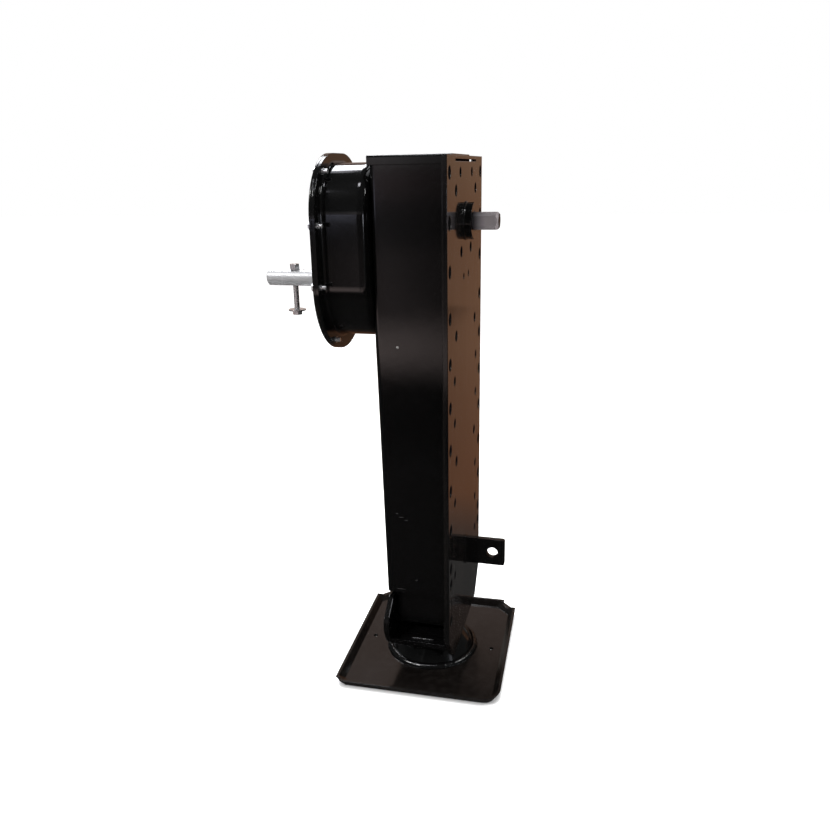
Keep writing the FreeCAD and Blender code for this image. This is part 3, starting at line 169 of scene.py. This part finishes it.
STREAK_STRETCH = (1.0, 1.0, 0.03)
STREAK_SCALE = 90.0
STREAK_DETAIL = 4.0
STREAK_CLEAN = 0.42
STREAK_DUSTY = 0.72
ENAMEL_IOR = 1.5
ENAMEL_EDGE = 1.4 * MM
ENAMEL_GLOSS_SCALE = 9.0
ENAMEL_GLOSS = ((0.35, 0.75), (0.7, 1.35))
ENAMEL_RIPPLE_SCALE = 60.0
ENAMEL_RIPPLE_DETAIL = 1.5
ENAMEL_RIPPLE_DEPTH = 0.002
METAL_EDGE = 0.6 * MM
METAL_GLOSS_SCALE = 140.0
METAL_GLOSS = ((0.3, 0.8), (0.75, 1.25))
METAL_RIPPLE_SCALE = 300.0
METAL_RIPPLE_DEPTH = 0.001
PLAIN_EDGE = 0.6 * MM
PLAIN_GLOSS_SCALE = 90.0
PLAIN_GLOSS = ((0.3, 0.9), (0.75, 1.1))


def streaks(material, colour, dust):
    """A thin film of dust that lies in long upright streaks."""
    place = add_node(material, "ShaderNodeTexCoord")
    stretch = add_node(material, "ShaderNodeMapping", Scale=STREAK_STRETCH)
    noise = add_node(material, "ShaderNodeTexNoise", Scale=STREAK_SCALE, Detail=STREAK_DETAIL)
    link(material, place.outputs["Object"], stretch.inputs["Vector"])
    link(material, stretch.outputs["Vector"], noise.inputs["Vector"])
    return ramp(material, noise.outputs["Fac"], [(STREAK_CLEAN, colour), (STREAK_DUSTY, dust)])


def paint(name, colour, rough, wave=0.02, edge=ENAMEL_EDGE, dust=None):
    """Sprayed black enamel: a slow ripple in the coat, uneven gloss and an optional film of dust."""
    material, shader = new_material(name, colour)
    if dust is not None:
        film = streaks(material, colour, dust)
        link(material, film.outputs["Color"], shader.inputs["Base Color"])
    shader.inputs["IOR"].default_value = ENAMEL_IOR
    uneven_gloss(material, shader, rough, ENAMEL_GLOSS_SCALE, ENAMEL_GLOSS)
    noise = grain(material, ENAMEL_RIPPLE_SCALE, ENAMEL_RIPPLE_DETAIL)
    rippled(material, shader, wave, ENAMEL_RIPPLE_DEPTH, noise, edge)
    return material


def metal(name, colour, rough, shine=1.0, wave=0.02, edge=METAL_EDGE):
    """Bare or plated metal with a fine uneven gloss."""
    material, shader = new_material(name, colour)
    shader.inputs["Metallic"].default_value = shine
    uneven_gloss(material, shader, rough, METAL_GLOSS_SCALE, METAL_GLOSS)
    noise = grain(material, METAL_RIPPLE_SCALE)
    rippled(material, shader, wave, METAL_RIPPLE_DEPTH, noise, edge)
    return material


def plain(name, colour, rough):
    """A dull plastic, rubber or bare paint."""
    material, shader = new_material(name, colour)
    uneven_gloss(material, shader, rough, PLAIN_GLOSS_SCALE, PLAIN_GLOSS)
    soft_edges(material, shader, PLAIN_EDGE)
    return material


def toned_along_x(name, stops, rough):
    """Dull paint whose colour changes along X; stops are (place along X in metres, colour)."""
    material = plain(name, stops[0][1], rough)
    shader = material.node_tree.nodes["Principled BSDF"]
    split = split_place(material, "ShaderNodeTexCoord", "Object")
    tint = along_axis(material, split, "X", stops)
    link(material, tint.outputs["Color"], shader.inputs["Base Color"])
    return material


# The materials, and which node takes which

BLACK = (0.0030, 0.0029, 0.0030)
PAN_BLACK = (0.0070, 0.0056, 0.0050)
PLATE_DUST = (0.012, 0.010, 0.009)
PAN_DUST = (0.013, 0.011, 0.010)
STUB_GREY = (0.33, 0.29, 0.30)
STUB_HALF_GREY = (0.20, 0.18, 0.19)
STUB_DARK = (0.022, 0.020, 0.022)

# Along the output shaft: bare grey inside the case, black at the hub, turning grey over the stub's first
# centimetres, black on its end face
STUB_TONES = (
    (-0.1305, STUB_GREY), (0.050, STUB_GREY), (0.056, STUB_DARK), (0.071, STUB_DARK),
    (0.079, STUB_HALF_GREY), (0.087, STUB_GREY), (0.1042, STUB_GREY), (0.1046, STUB_DARK),
    (0.105, STUB_DARK))

MATERIALS = {
    "enamel": paint("black_enamel", BLACK, rough=0.085),
    "mirror": paint("black_mirror_enamel", BLACK, rough=0.09, wave=0.010, edge=2.5 * MM, dust=PLATE_DUST),
    "pan": paint("trodden_enamel", PAN_BLACK, rough=0.15, wave=0.03, edge=0.8 * MM, dust=PAN_DUST),
    "weld": paint("painted_weld", BLACK, rough=0.12, wave=0.15),
    "dull": toned_along_x("black_and_grey_stub", STUB_TONES, rough=0.5),
    # A light-grey patch that paints a small glint on the tube's front face
    "painted_glint": plain("painted_glint_patch", (0.30, 0.29, 0.28), rough=0.6),
    "scuff": plain("paint_scuff", (0.045, 0.043, 0.043), rough=0.5),
    "zinc": metal("bright_zinc", (0.62, 0.62, 0.63), rough=0.46, shine=0.5, wave=0.006),
    "fastener": metal("plated_fastener", (0.72, 0.72, 0.73), rough=0.26, shine=0.85, wave=0.001,
                      edge=0.15 * MM),
    "dark_steel": metal("greased_steel", (0.38, 0.37, 0.36), rough=0.34),
    "steel": metal("machined_steel", (0.46, 0.46, 0.48), rough=0.30),
    "polished": metal("polished_steel", (0.82, 0.83, 0.85), rough=0.10),
    "bronze": metal("bearing_bronze", (0.66, 0.48, 0.24), rough=0.30),
    "rubber": plain("seal_rubber", (0.02, 0.02, 0.02), rough=0.7),
    "nylon": plain("natural_nylon", (0.72, 0.70, 0.63), rough=0.5),
}
CLASS_MATERIAL = {
    "painted_metal": "enamel",
    "brass": "bronze",
    "rubber": "rubber",
    "chrome": "polished",
    "matte_plastic": "nylon",
}
NODE_MATERIAL = {
    "mounting_plate": "mirror",
    "gear_cover": "mirror",
    "output_hub_bush": "enamel",
    "foot_pan": "pan",
    "output_shaft": "dull",
    "cover_bolts": "fastener",
    "cover_nuts": "fastener",
    "cross_bolt": "fastener",
    "cross_washer": "fastener",
    "cross_nut": "fastener",
}
BRIGHT_FINISH = "zinc"
GREASED_FINISH = "greased"


def material_for(node, entry):
    """The material of a CAD node, from its own name or its record's class and finish."""
    if node in NODE_MATERIAL:
        return MATERIALS[NODE_MATERIAL[node]]
    if entry["class"] in CLASS_MATERIAL:
        return MATERIALS[CLASS_MATERIAL[entry["class"]]]
    if BRIGHT_FINISH in entry["finish"]:
        return MATERIALS["zinc"]
    if GREASED_FINISH in entry["finish"]:
        return MATERIALS["dark_steel"]
    return MATERIALS["steel"]


def dress_nodes():
    """Gives every CAD node its material."""
    entries = {entry["slot"]: entry for entry in frame["record"]["materials"]}
    for name, node in NODES.items():
        node.data.materials.clear()
        node.data.materials.append(material_for(name, entries[name]))


# Pieces that the solids leave out: weld beads, marks in the paint and a light patch that is a painted glint;
# their sizes are in millimetres

def new_piece(name, points, faces, material, body, smooth=True):
    """A mesh in the part's frame that rides on a body and takes one of the materials."""
    mesh = bpy.data.meshes.new(name)
    mesh.from_pydata(points, [], faces)
    mesh.validate()
    mesh.materials.append(MATERIALS[material])
    for polygon in mesh.polygons:
        polygon.use_smooth = smooth
    piece = bpy.data.objects.new(name, mesh)
    bpy.context.scene.collection.objects.link(piece)
    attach(piece, body)
    return piece


def box_mm(node):
    """A node's lowest and highest corners in millimetres."""
    low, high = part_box(node)
    return [v / MM for v in low], [v / MM for v in high]


def middle_of(low, high):
    """The middle of a box."""
    return [(a + b) / 2 for a, b in zip(low, high)]


BEAD_STEP = 1.0 * MM
CIRCLE_POINTS = 72


def resample(path, closed):
    """Evenly spaced points along a path of straight runs."""
    corners = [Vector(p) * MM for p in path]
    if closed:
        corners.append(corners[0])
    line = []
    carry = 0.0
    for start, end in zip(corners, corners[1:]):
        run = end - start
        place = carry
        while place < run.length:
            line.append(start + run * (place / run.length))
            place += BEAD_STEP
        carry = place - run.length
    if not closed:
        line.append(corners[-1])
    return line


def circle_about_x(centre, radius):
    """Points round a circle about an axis along X."""
    x, y, z = centre
    turns = [math.tau * i / CIRCLE_POINTS for i in range(CIRCLE_POINTS)]
    return [(x, y + radius * math.cos(t), z + radius * math.sin(t)) for t in turns]


BEAD_SIDES = 10
RIPPLE_LENGTH = 3.2 * MM
RIPPLE_SHARE = 0.14
WIDTH_RETURN = 0.2
BEAD_WANDER = 0.05
BEAD_END_START = 0.6
BEAD_END_STEPS = 3.0
UPRIGHT_RUN = 0.5


def bead(name, path, radius, body, closed=False, seed=1):
    """A weld bead: a rippled tube along a path of points, with an uneven width."""
    draw = random.Random(seed)
    line = resample(path, closed)
    count = len(line)
    points = []
    travelled = 0.0
    width = 1.0
    for i, point in enumerate(line):
        before = line[i - 1] if closed or i > 0 else point
        after = line[(i + 1) % count] if closed or i + 1 < count else point
        along = (after - before).normalized()
        side = along.cross(Vector((0, 0, 1)))
        if side.length < UPRIGHT_RUN:
            side = along.cross(Vector((1, 0, 0)))
        side.normalize()
        up = side.cross(along)
        width += (1.0 - width) * WIDTH_RETURN + draw.uniform(-BEAD_WANDER, BEAD_WANDER)
        ripple = 1.0 - RIPPLE_SHARE * abs(math.sin(math.pi * travelled / RIPPLE_LENGTH))
        from_end = min(i, count - 1 - i)
        ends = 1.0 if closed else min(1.0, (from_end + BEAD_END_START) / BEAD_END_STEPS)
        reach = radius * MM * width * ripple * math.sqrt(ends)
        for k in range(BEAD_SIDES):
            angle = math.tau * k / BEAD_SIDES
            points.append(point + (side * math.cos(angle) + up * math.sin(angle)) * reach)
        travelled += BEAD_STEP
    faces = []
    for i in range(count if closed else count - 1):
        a, b = i * BEAD_SIDES, (i + 1) % count * BEAD_SIDES
        for k in range(BEAD_SIDES):
            n = (k + 1) % BEAD_SIDES
            faces.append((a + k, b + k, b + n, a + n))
    if not closed:
        faces.append(tuple(range(BEAD_SIDES)))
        faces.append(tuple((count - 1) * BEAD_SIDES + k for k in reversed(range(BEAD_SIDES))))
    return new_piece(name, points, faces, "weld", body)


FILLET_FACES = 6
FILLET_BULGE = 0.12
FILLET_WANDER = 0.04
FILLET_RIPPLE = RIPPLE_SHARE * 0.6
FILLET_ROOT = 1.0


def fillet_ring(name, centre, radius, leg, body, seed):
    """A fillet weld round an upright wall on a flat floor: a rippled ring with a broad, full face."""
    draw = random.Random(seed)
    count = int(math.tau * radius * MM / BEAD_STEP)
    middle = Vector(centre)
    points = []
    width = 1.0
    for i in range(count):
        turn = math.tau * i / count
        out = Vector((math.cos(turn), math.sin(turn), 0))
        width += (1.0 - width) * WIDTH_RETURN + draw.uniform(-FILLET_WANDER, FILLET_WANDER)
        ripple = 1.0 - FILLET_RIPPLE * abs(math.sin(math.pi * i * BEAD_STEP / RIPPLE_LENGTH))
        reach = leg * width * ripple
        for k in range(FILLET_FACES + 1):
            share = k / FILLET_FACES
            full = FILLET_BULGE * math.sin(math.pi * share)
            away = radius + reach * (1.0 - share + full)
            points.append((middle + out * away + Vector((0, 0, reach * (share + full)))) * MM)
        points.append((middle + out * (radius - FILLET_ROOT)) * MM)
    ring = FILLET_FACES + 2
    faces = []
    for i in range(count):
        a, b = i * ring, (i + 1) % count * ring
        for k in range(ring):
            n = (k + 1) % ring
            faces.append((a + k, b + k, b + n, a + n))
    return new_piece(name, points, faces, "weld", body)


TAB_BEAD = 2.6
HUB_BEAD = 3.0
DOME_LEG = 7.0
DOME_INSET = 1.5
WEB_BEAD = 3.6
WEB_WELD_X = (-13.0, 25.0)
WEB_WELD_Y = -76.0
WEB_TOP = 60.0
STITCH_BEAD = 3.2
STITCH_LENGTH = 70.0
STITCH_PITCH = 150.0
STITCH_MARGIN = 20.0
STITCH_SUNK = 0.5
STITCH_SEED = 10


def make_welds():
    """Beads where the plate, tube, hub, tab and foot were welded before painting."""
    plate_low, plate_high = box_mm("mounting_plate")
    tube_low, tube_high = box_mm("outer_tube")
    tab_low, tab_high = box_mm("brace_tab")
    hub_low, hub_high = box_mm("output_hub")
    dome_low, dome_high = box_mm("foot_dome")

    face = plate_high[0]
    tab = [(face, y, z) for y, z in (
        (tab_low[1], tab_low[2]), (tab_high[1], tab_low[2]),
        (tab_high[1], tab_high[2]), (tab_low[1], tab_high[2]))]
    bead("tab_weld", tab, TAB_BEAD, "upper_leg", closed=True, seed=3)

    hub_middle = middle_of(hub_low, hub_high)
    hub_radius = (hub_high[1] - hub_low[1]) / 2
    hub_ring = circle_about_x((face, hub_middle[1], hub_middle[2]), hub_radius)
    bead("hub_weld", hub_ring, HUB_BEAD, "upper_leg", closed=True, seed=4)

    dome_middle = middle_of(dome_low, dome_high)
    dome_radius = (dome_high[0] - dome_low[0]) / 2
    dome_foot = (dome_middle[0], dome_middle[1], dome_low[2])
    fillet_ring("dome_weld", dome_foot, dome_radius - DOME_INSET, DOME_LEG, "foot", seed=5)

    web = [(x, WEB_WELD_Y, WEB_TOP) for x in WEB_WELD_X]
    bead("web_weld", web, WEB_BEAD, "saddle", seed=6)

    back = plate_low[0] - STITCH_SUNK
    stitch = 0
    for side, y in (("front", tube_low[1]), ("back", tube_high[1])):
        z = tube_low[2] + STITCH_MARGIN
        while z + STITCH_LENGTH < tube_high[2] - STITCH_MARGIN:
            stitch += 1
            run = [(back, y, z), (back, y, z + STITCH_LENGTH)]
            bead(f"tube_weld_{side}_{stitch}", run, STITCH_BEAD, "upper_leg",
                 seed=STITCH_SEED + stitch)
            z += STITCH_PITCH


# Marks on the tube's front face, and a light patch that is a painted glint: name, place along X and Z, half
# size along X and Z, material
MARKS_AND_GLINT = (
    ("upper_painted_glint", -26.6, 516.7, 3.2, 2.4, "painted_glint"),
    ("scuff_bend", -34.0, 262.0, 2.0, 0.7, "scuff"),
    ("scuff_middle", -27.0, 256.5, 5.0, 0.6, "scuff"),
    ("scuff_tail", -20.0, 252.3, 3.0, 0.6, "scuff"),
    ("scuff_spot", -5.9, 152.1, 2.0, 1.6, "scuff"),
    ("scuff_foot", -30.0, 134.4, 8.0, 0.6, "scuff"),
)
MARK_PROUD = 0.08
MARK_SUNK = 0.05
MARK_TOP_SHARE = 0.8
MARK_POINTS = 12
MARK_REACH = (0.65, 1.0)
MARK_SEED = 7


def make_marks():
    """Small rubs and a painted glint: thin uneven patches that lie on the tube's front face."""
    draw = random.Random(MARK_SEED)
    front = box_mm("outer_tube")[0][1]
    count = MARK_POINTS
    share = MARK_TOP_SHARE
    for name, x, z, half_x, half_z, material in MARKS_AND_GLINT:
        foot, top = [], []
        for i in range(count):
            turn = math.tau * i / count
            reach = draw.uniform(*MARK_REACH)
            across, up = half_x * reach * math.cos(turn), half_z * reach * math.sin(turn)
            foot.append(Vector((x + across, front + MARK_SUNK, z + up)) * MM)
            top.append(Vector((x + across * share, front - MARK_PROUD, z + up * share)) * MM)
        faces = [tuple(reversed(range(count))), tuple(range(count, 2 * count))]
        for i in range(count):
            n = (i + 1) % count
            faces.append((i, n, count + n, count + i))
        new_piece(name, foot + top, faces, material, "upper_leg", smooth=False)


# The stage: flat cards and the white floor; places are in metres

def quad(name, corners, material):
    """A flat stage card through four corners."""
    mesh = bpy.data.meshes.new(name)
    mesh.from_pydata([Vector(corner) for corner in corners], [], [(0, 1, 2, 3)])
    mesh.materials.append(material)
    card = bpy.data.objects.new(name, mesh)
    bpy.context.scene.collection.objects.link(card)
    return card


def level_card(name, x, y, z, material):
    """A level card between two places along X and two along Y."""
    return quad(name, [(x[0], y[0], z), (x[1], y[0], z), (x[1], y[1], z), (x[0], y[1], z)], material)


def upright_card(name, start, end, z, material):
    """An upright card over a line on the floor, between two heights."""
    return quad(name, [(*start, z[0]), (*end, z[0]), (*end, z[1]), (*start, z[1])], material)


def wall_card(name, x, y, z, material):
    """An upright card along X, between two heights."""
    return upright_card(name, (x[0], y), (x[1], y), z, material)


def seen_directly(owner):
    """1 for the camera's own rays and for those that glossy or clear surfaces pass on, otherwise 0."""
    path = add_node(owner, "ShaderNodeLightPath")
    value = path.outputs["Is Camera Ray"]
    for kind in ("Is Glossy Ray", "Is Transmission Ray"):
        larger = add_node(owner, "ShaderNodeMath", operation="MAXIMUM")
        link(owner, value, larger.inputs[0])
        link(owner, path.outputs[kind], larger.inputs[1])
        value = larger.outputs["Value"]
    return value


GROUND_BODY = "lower_leg"
FLOOR_SPAN = (-12.0, 12.0)
FLOOR_WHITE = (0.9, 0.9, 0.9)
FLOOR_GLOW = (0.8, 0.8, 0.8)
# Reach, samples and power of the painted contact shadow in the floor's glow
PAINTED_SHADOW_REACH = 0.008
PAINTED_SHADOW_SAMPLES = 8
PAINTED_SHADOW_POWER = 3.0


def make_floor():
    """A white floor that keeps a faint shadow from the lamps, whose glow ambient occlusion darkens near the
    foot and in its holes as a painted contact shadow, and that stays under the foot when the leg runs out.
    """
    material, shader = new_material("white_floor", FLOOR_WHITE)
    shader.inputs["Roughness"].default_value = 1.0
    shader.inputs["Specular IOR Level"].default_value = 0.0
    shader.inputs["Emission Color"].default_value = (*FLOOR_GLOW, 1.0)
    # Painted contact shadow: ambient occlusion darkens the floor's glow under and round the foot.
    painted_shadow_ao = add_node(material, "ShaderNodeAmbientOcclusion", samples=PAINTED_SHADOW_SAMPLES,
                        Distance=PAINTED_SHADOW_REACH)
    shade = add_node(material, "ShaderNodeMath", operation="POWER")
    shade.inputs[1].default_value = PAINTED_SHADOW_POWER
    link(material, painted_shadow_ao.outputs["AO"], shade.inputs[0])
    lift = add_node(material, "ShaderNodeMath", operation="MULTIPLY")
    link(material, seen_directly(material), lift.inputs[0])
    link(material, shade.outputs["Value"], lift.inputs[1])
    link(material, lift.outputs["Value"], shader.inputs["Emission Strength"])
    floor = level_card("floor", FLOOR_SPAN, FLOOR_SPAN, 0, material)
    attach(floor, GROUND_BODY)


# The room that the paint reflects: cards that only glossy surfaces see

ROOM_HALF = 3.2
ROOM_TOP = 3.4
ROOM_FOOT = -0.6
FLOOR_CARD_Z = 0.5 * MM
INSIDE_WALL = 3.15
INSIDE_TOP = 3.3

BROWN_NEAR = (0.232, 0.107, 0.058)
BROWN = (0.292, 0.150, 0.086)
BROWN_HIGH = (0.336, 0.190, 0.114)
UPPER_BACK = (0.40, 0.30, 0.26)
FRONT_LOW = (0.14, 0.115, 0.115)
FRONT_MIDDLE = (0.055, 0.050, 0.052)
FRONT_UPPER = (0.18, 0.135, 0.14)
FRONT_BAND = (1.20, 0.97, 0.93)
FRONT_HIGH = (0.42, 0.40, 0.41)
WINDOW = (1.10, 1.12, 1.40)
SMUDGE = (2.8, 2.8, 3.1)
CEILING = (12.0, 12.0, 12.8)
ABOVE = (2.2, 2.2, 2.4)
SIDE_WINDOW = (6.0, 6.2, 7.0)
BACK_PALE = (0.42, 0.38, 0.35)
DARK = (0.010, 0.009, 0.009)
DIM = (0.070, 0.074, 0.074)
NEAR = (0.062, 0.060, 0.058)

FLOOR_STOPS = (
    (-ROOM_HALF, FRONT_LOW), (-3.0, FRONT_LOW), (-2.34, FRONT_BAND), (-2.06, FRONT_BAND), (-1.66, DARK),
    (-1.15, DARK), (-0.85, NEAR), (0.30, NEAR), (0.62, BROWN_NEAR), (0.80, BROWN_NEAR), (2.2, BROWN),
    (ROOM_HALF, BROWN))
FLOOR_FADE = (
    (-3.2, 1.0), (-0.70, 1.0), (-0.42, 0.55), (-0.05, 0.55), (0.2, 1.0), (0.60, 1.0), (0.74, 0.45),
    (3.2, 0.45))
BACK_STOPS = (
    (0.0, BROWN), (0.55, BROWN), (0.80, BROWN_HIGH), (1.0, BROWN_HIGH), (1.5, UPPER_BACK),
    (ROOM_TOP, UPPER_BACK))
FRONT_STOPS = (
    (0.0, FRONT_LOW), (0.30, FRONT_LOW), (0.38, FRONT_MIDDLE), (0.55, FRONT_MIDDLE), (0.66, FRONT_UPPER),
    (0.770, FRONT_UPPER), (0.785, FRONT_HIGH), (0.86, FRONT_HIGH), (0.95, DIM), (ROOM_TOP, DIM))
FRONT_FADE = (
    (-3.2, 0.9), (-1.16, 0.9), (-1.04, 2.3), (-0.92, 1.8), (-0.80, 1.05), (-0.66, 0.65), (3.2, 0.65))

WINDOW_X = (-1.9, -1.08)
WINDOW_Z = (0.505, 0.70)
SMUDGE_X = (-1.46, -1.36)
SMUDGE_Y = (-2.20, -1.00)
CEILING_X = (-0.76, 0.10)
CEILING_Y = (-1.35, -0.95)
ABOVE_X = (-1.70, -1.00)
ABOVE_Y = (0.70, 1.70)
BACK_DARK_X = (-0.75, 1.0)
BACK_DARK_Z = (2.45, 3.4)
SIDE_WINDOW_START = (2.20, -1.50)
SIDE_WINDOW_END = (2.40, -1.10)
SIDE_WINDOW_Z = (0.51, 0.69)
BACK_CORNER_X = (1.6, 3.2)
BACK_CORNER_Z = (0.5, 2.0)
BACK_PALE_X = (-3.2, -1.5)
BACK_PALE_Z = (0.0, 0.8)


def emitter(name):
    """A material that only glows, and its emission shader."""
    material = bpy.data.materials.new(name)
    material.use_nodes = True
    material.node_tree.nodes.clear()
    shine = add_node(material, "ShaderNodeEmission")
    out = add_node(material, "ShaderNodeOutputMaterial")
    link(material, shine.outputs["Emission"], out.inputs["Surface"])
    return material, shine


def flat_glow(name, colour):
    """A card's glow of one colour."""
    material, shine = emitter(name)
    shine.inputs["Color"].default_value = (*colour, 1.0)
    return material


def glow(name, axis, stops, fade=None):
    """A card's glow along one axis, and its fade along X; stops are (place in metres, colour)."""
    material, shine = emitter(name)
    split = split_place(material, "ShaderNodeNewGeometry", "Position")
    blend = along_axis(material, split, axis, stops)
    link(material, blend.outputs["Color"], shine.inputs["Color"])
    if fade is not None:
        dim = along_axis(material, split, "X", fade)
        link(material, dim.outputs["Color"], shine.inputs["Strength"])
    return material


def reflect_only(card):
    """A card that only glossy surfaces see."""
    card.visible_camera = False
    card.visible_diffuse = False
    card.visible_shadow = False
    card.visible_transmission = False
    card.visible_volume_scatter = False


def make_cards():
    """A brown floor and back wall, dim walls, and the bright and dark places on them."""
    half = ROOM_HALF
    span = (-half, half)
    wall = (ROOM_FOOT, ROOM_TOP)
    floor = glow("card_floor_glow", "Y", FLOOR_STOPS, FLOOR_FADE)
    back = glow("card_back_glow", "Z", BACK_STOPS)
    front = glow("card_front_glow", "Z", FRONT_STOPS, FRONT_FADE)
    pale = flat_glow("card_back_pale_glow", BACK_PALE)
    dark = flat_glow("card_dark_glow", DARK)
    dim = flat_glow("card_dim_glow", DIM)
    window = flat_glow("card_window_glow", WINDOW)
    smudge = flat_glow("card_smudge_glow", SMUDGE)
    ceiling = flat_glow("card_ceiling_glow", CEILING)
    above = flat_glow("card_above_glow", ABOVE)
    side_window = flat_glow("card_side_window_glow", SIDE_WINDOW)
    cards = [
        level_card("card_floor", span, span, FLOOR_CARD_Z, floor),
        wall_card("card_back", span, half, wall, back),
        wall_card("card_front", span, -half, wall, front),
        upright_card("card_outboard", (-half, -half), (-half, half), wall, dim),
        upright_card("card_inboard", (half, -half), (half, half), wall, dim),
        level_card("card_top", span, span, ROOM_TOP, dim),
        wall_card("card_window", WINDOW_X, -INSIDE_WALL, WINDOW_Z, window),
        level_card("card_smudge", SMUDGE_X, SMUDGE_Y, INSIDE_TOP, smudge),
        level_card("card_ceiling", CEILING_X, CEILING_Y, INSIDE_TOP, ceiling),
        level_card("card_above", ABOVE_X, ABOVE_Y, INSIDE_TOP, above),
        wall_card("card_back_dark", BACK_DARK_X, INSIDE_WALL, BACK_DARK_Z, dark),
        upright_card("card_side_window", SIDE_WINDOW_START, SIDE_WINDOW_END, SIDE_WINDOW_Z, side_window),
        wall_card("card_back_corner", BACK_CORNER_X, INSIDE_WALL, BACK_CORNER_Z, dark),
        wall_card("card_back_pale", BACK_PALE_X, INSIDE_WALL, BACK_PALE_Z, pale),
    ]
    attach(cards[0], GROUND_BODY)
    for card in cards:
        reflect_only(card)


# Light: name, place, size, watts and colour of each lamp

WHITE = (1.0, 1.0, 1.0)
COOL = (0.95, 0.97, 1.0)
LAMPS = (
    ("overhead", (-0.90, 1.15, 2.35), (1.2, 0.8), 38.0, COOL),
    ("front", (-1.50, -1.50, 2.3), (0.55, 0.45), 36.0, WHITE),
    ("inboard", (2.1, 0.25, 1.85), (0.40, 0.40), 16.0, WHITE),
    ("side", (2.3, -1.6, 1.9), (1.1, 1.1), 12.0, WHITE),
)
LAMP_TARGET = Vector((0, 0, 0.4))
UNREFLECTED_LAMP = "side"
SKY_LIGHT = 0.4
SKY_WHITE = 1.0


def soft_box(name, place, size, power, colour):
    """An area lamp that looks at the middle of the leg."""
    data = bpy.data.lights.new(name, "AREA")
    data.shape = "RECTANGLE"
    data.size, data.size_y = size
    data.energy = power
    data.color = colour
    lamp = bpy.data.objects.new(name, data)
    bpy.context.scene.collection.objects.link(lamp)
    look = (LAMP_TARGET - Vector(place)).normalized()
    turn = look.to_track_quat("-Z", "Y").to_matrix().to_4x4()
    lamp.matrix_world = Matrix.Translation(Vector(place)) @ turn
    return lamp


def make_lights():
    """Soft boxes above and behind, above in front and inboard, and a broad one that fills the near side."""
    for name, place, size, power, colour in LAMPS:
        lamp = soft_box(name, place, size, power, colour)
        lamp.visible_glossy = name != UNREFLECTED_LAMP


def make_world():
    """White where the camera looks, a plain soft light for everything else."""
    world = bpy.data.worlds.new("world")
    bpy.context.scene.world = world
    world.use_nodes = True
    sky = world.node_tree.nodes["Background"]
    sky.inputs["Color"].default_value = (*WHITE, 1.0)
    strength = add_node(world, "ShaderNodeMapRange")
    strength.inputs["To Min"].default_value = SKY_LIGHT
    strength.inputs["To Max"].default_value = SKY_WHITE
    link(world, seen_directly(world), strength.inputs["Value"])
    link(world, strength.outputs["Result"], sky.inputs["Strength"])


make_camera()
dress_nodes()
make_welds()
make_marks()
make_floor()
make_cards()
make_lights()
make_world()
bpy.context.scene.view_settings.view_transform = "Standard"
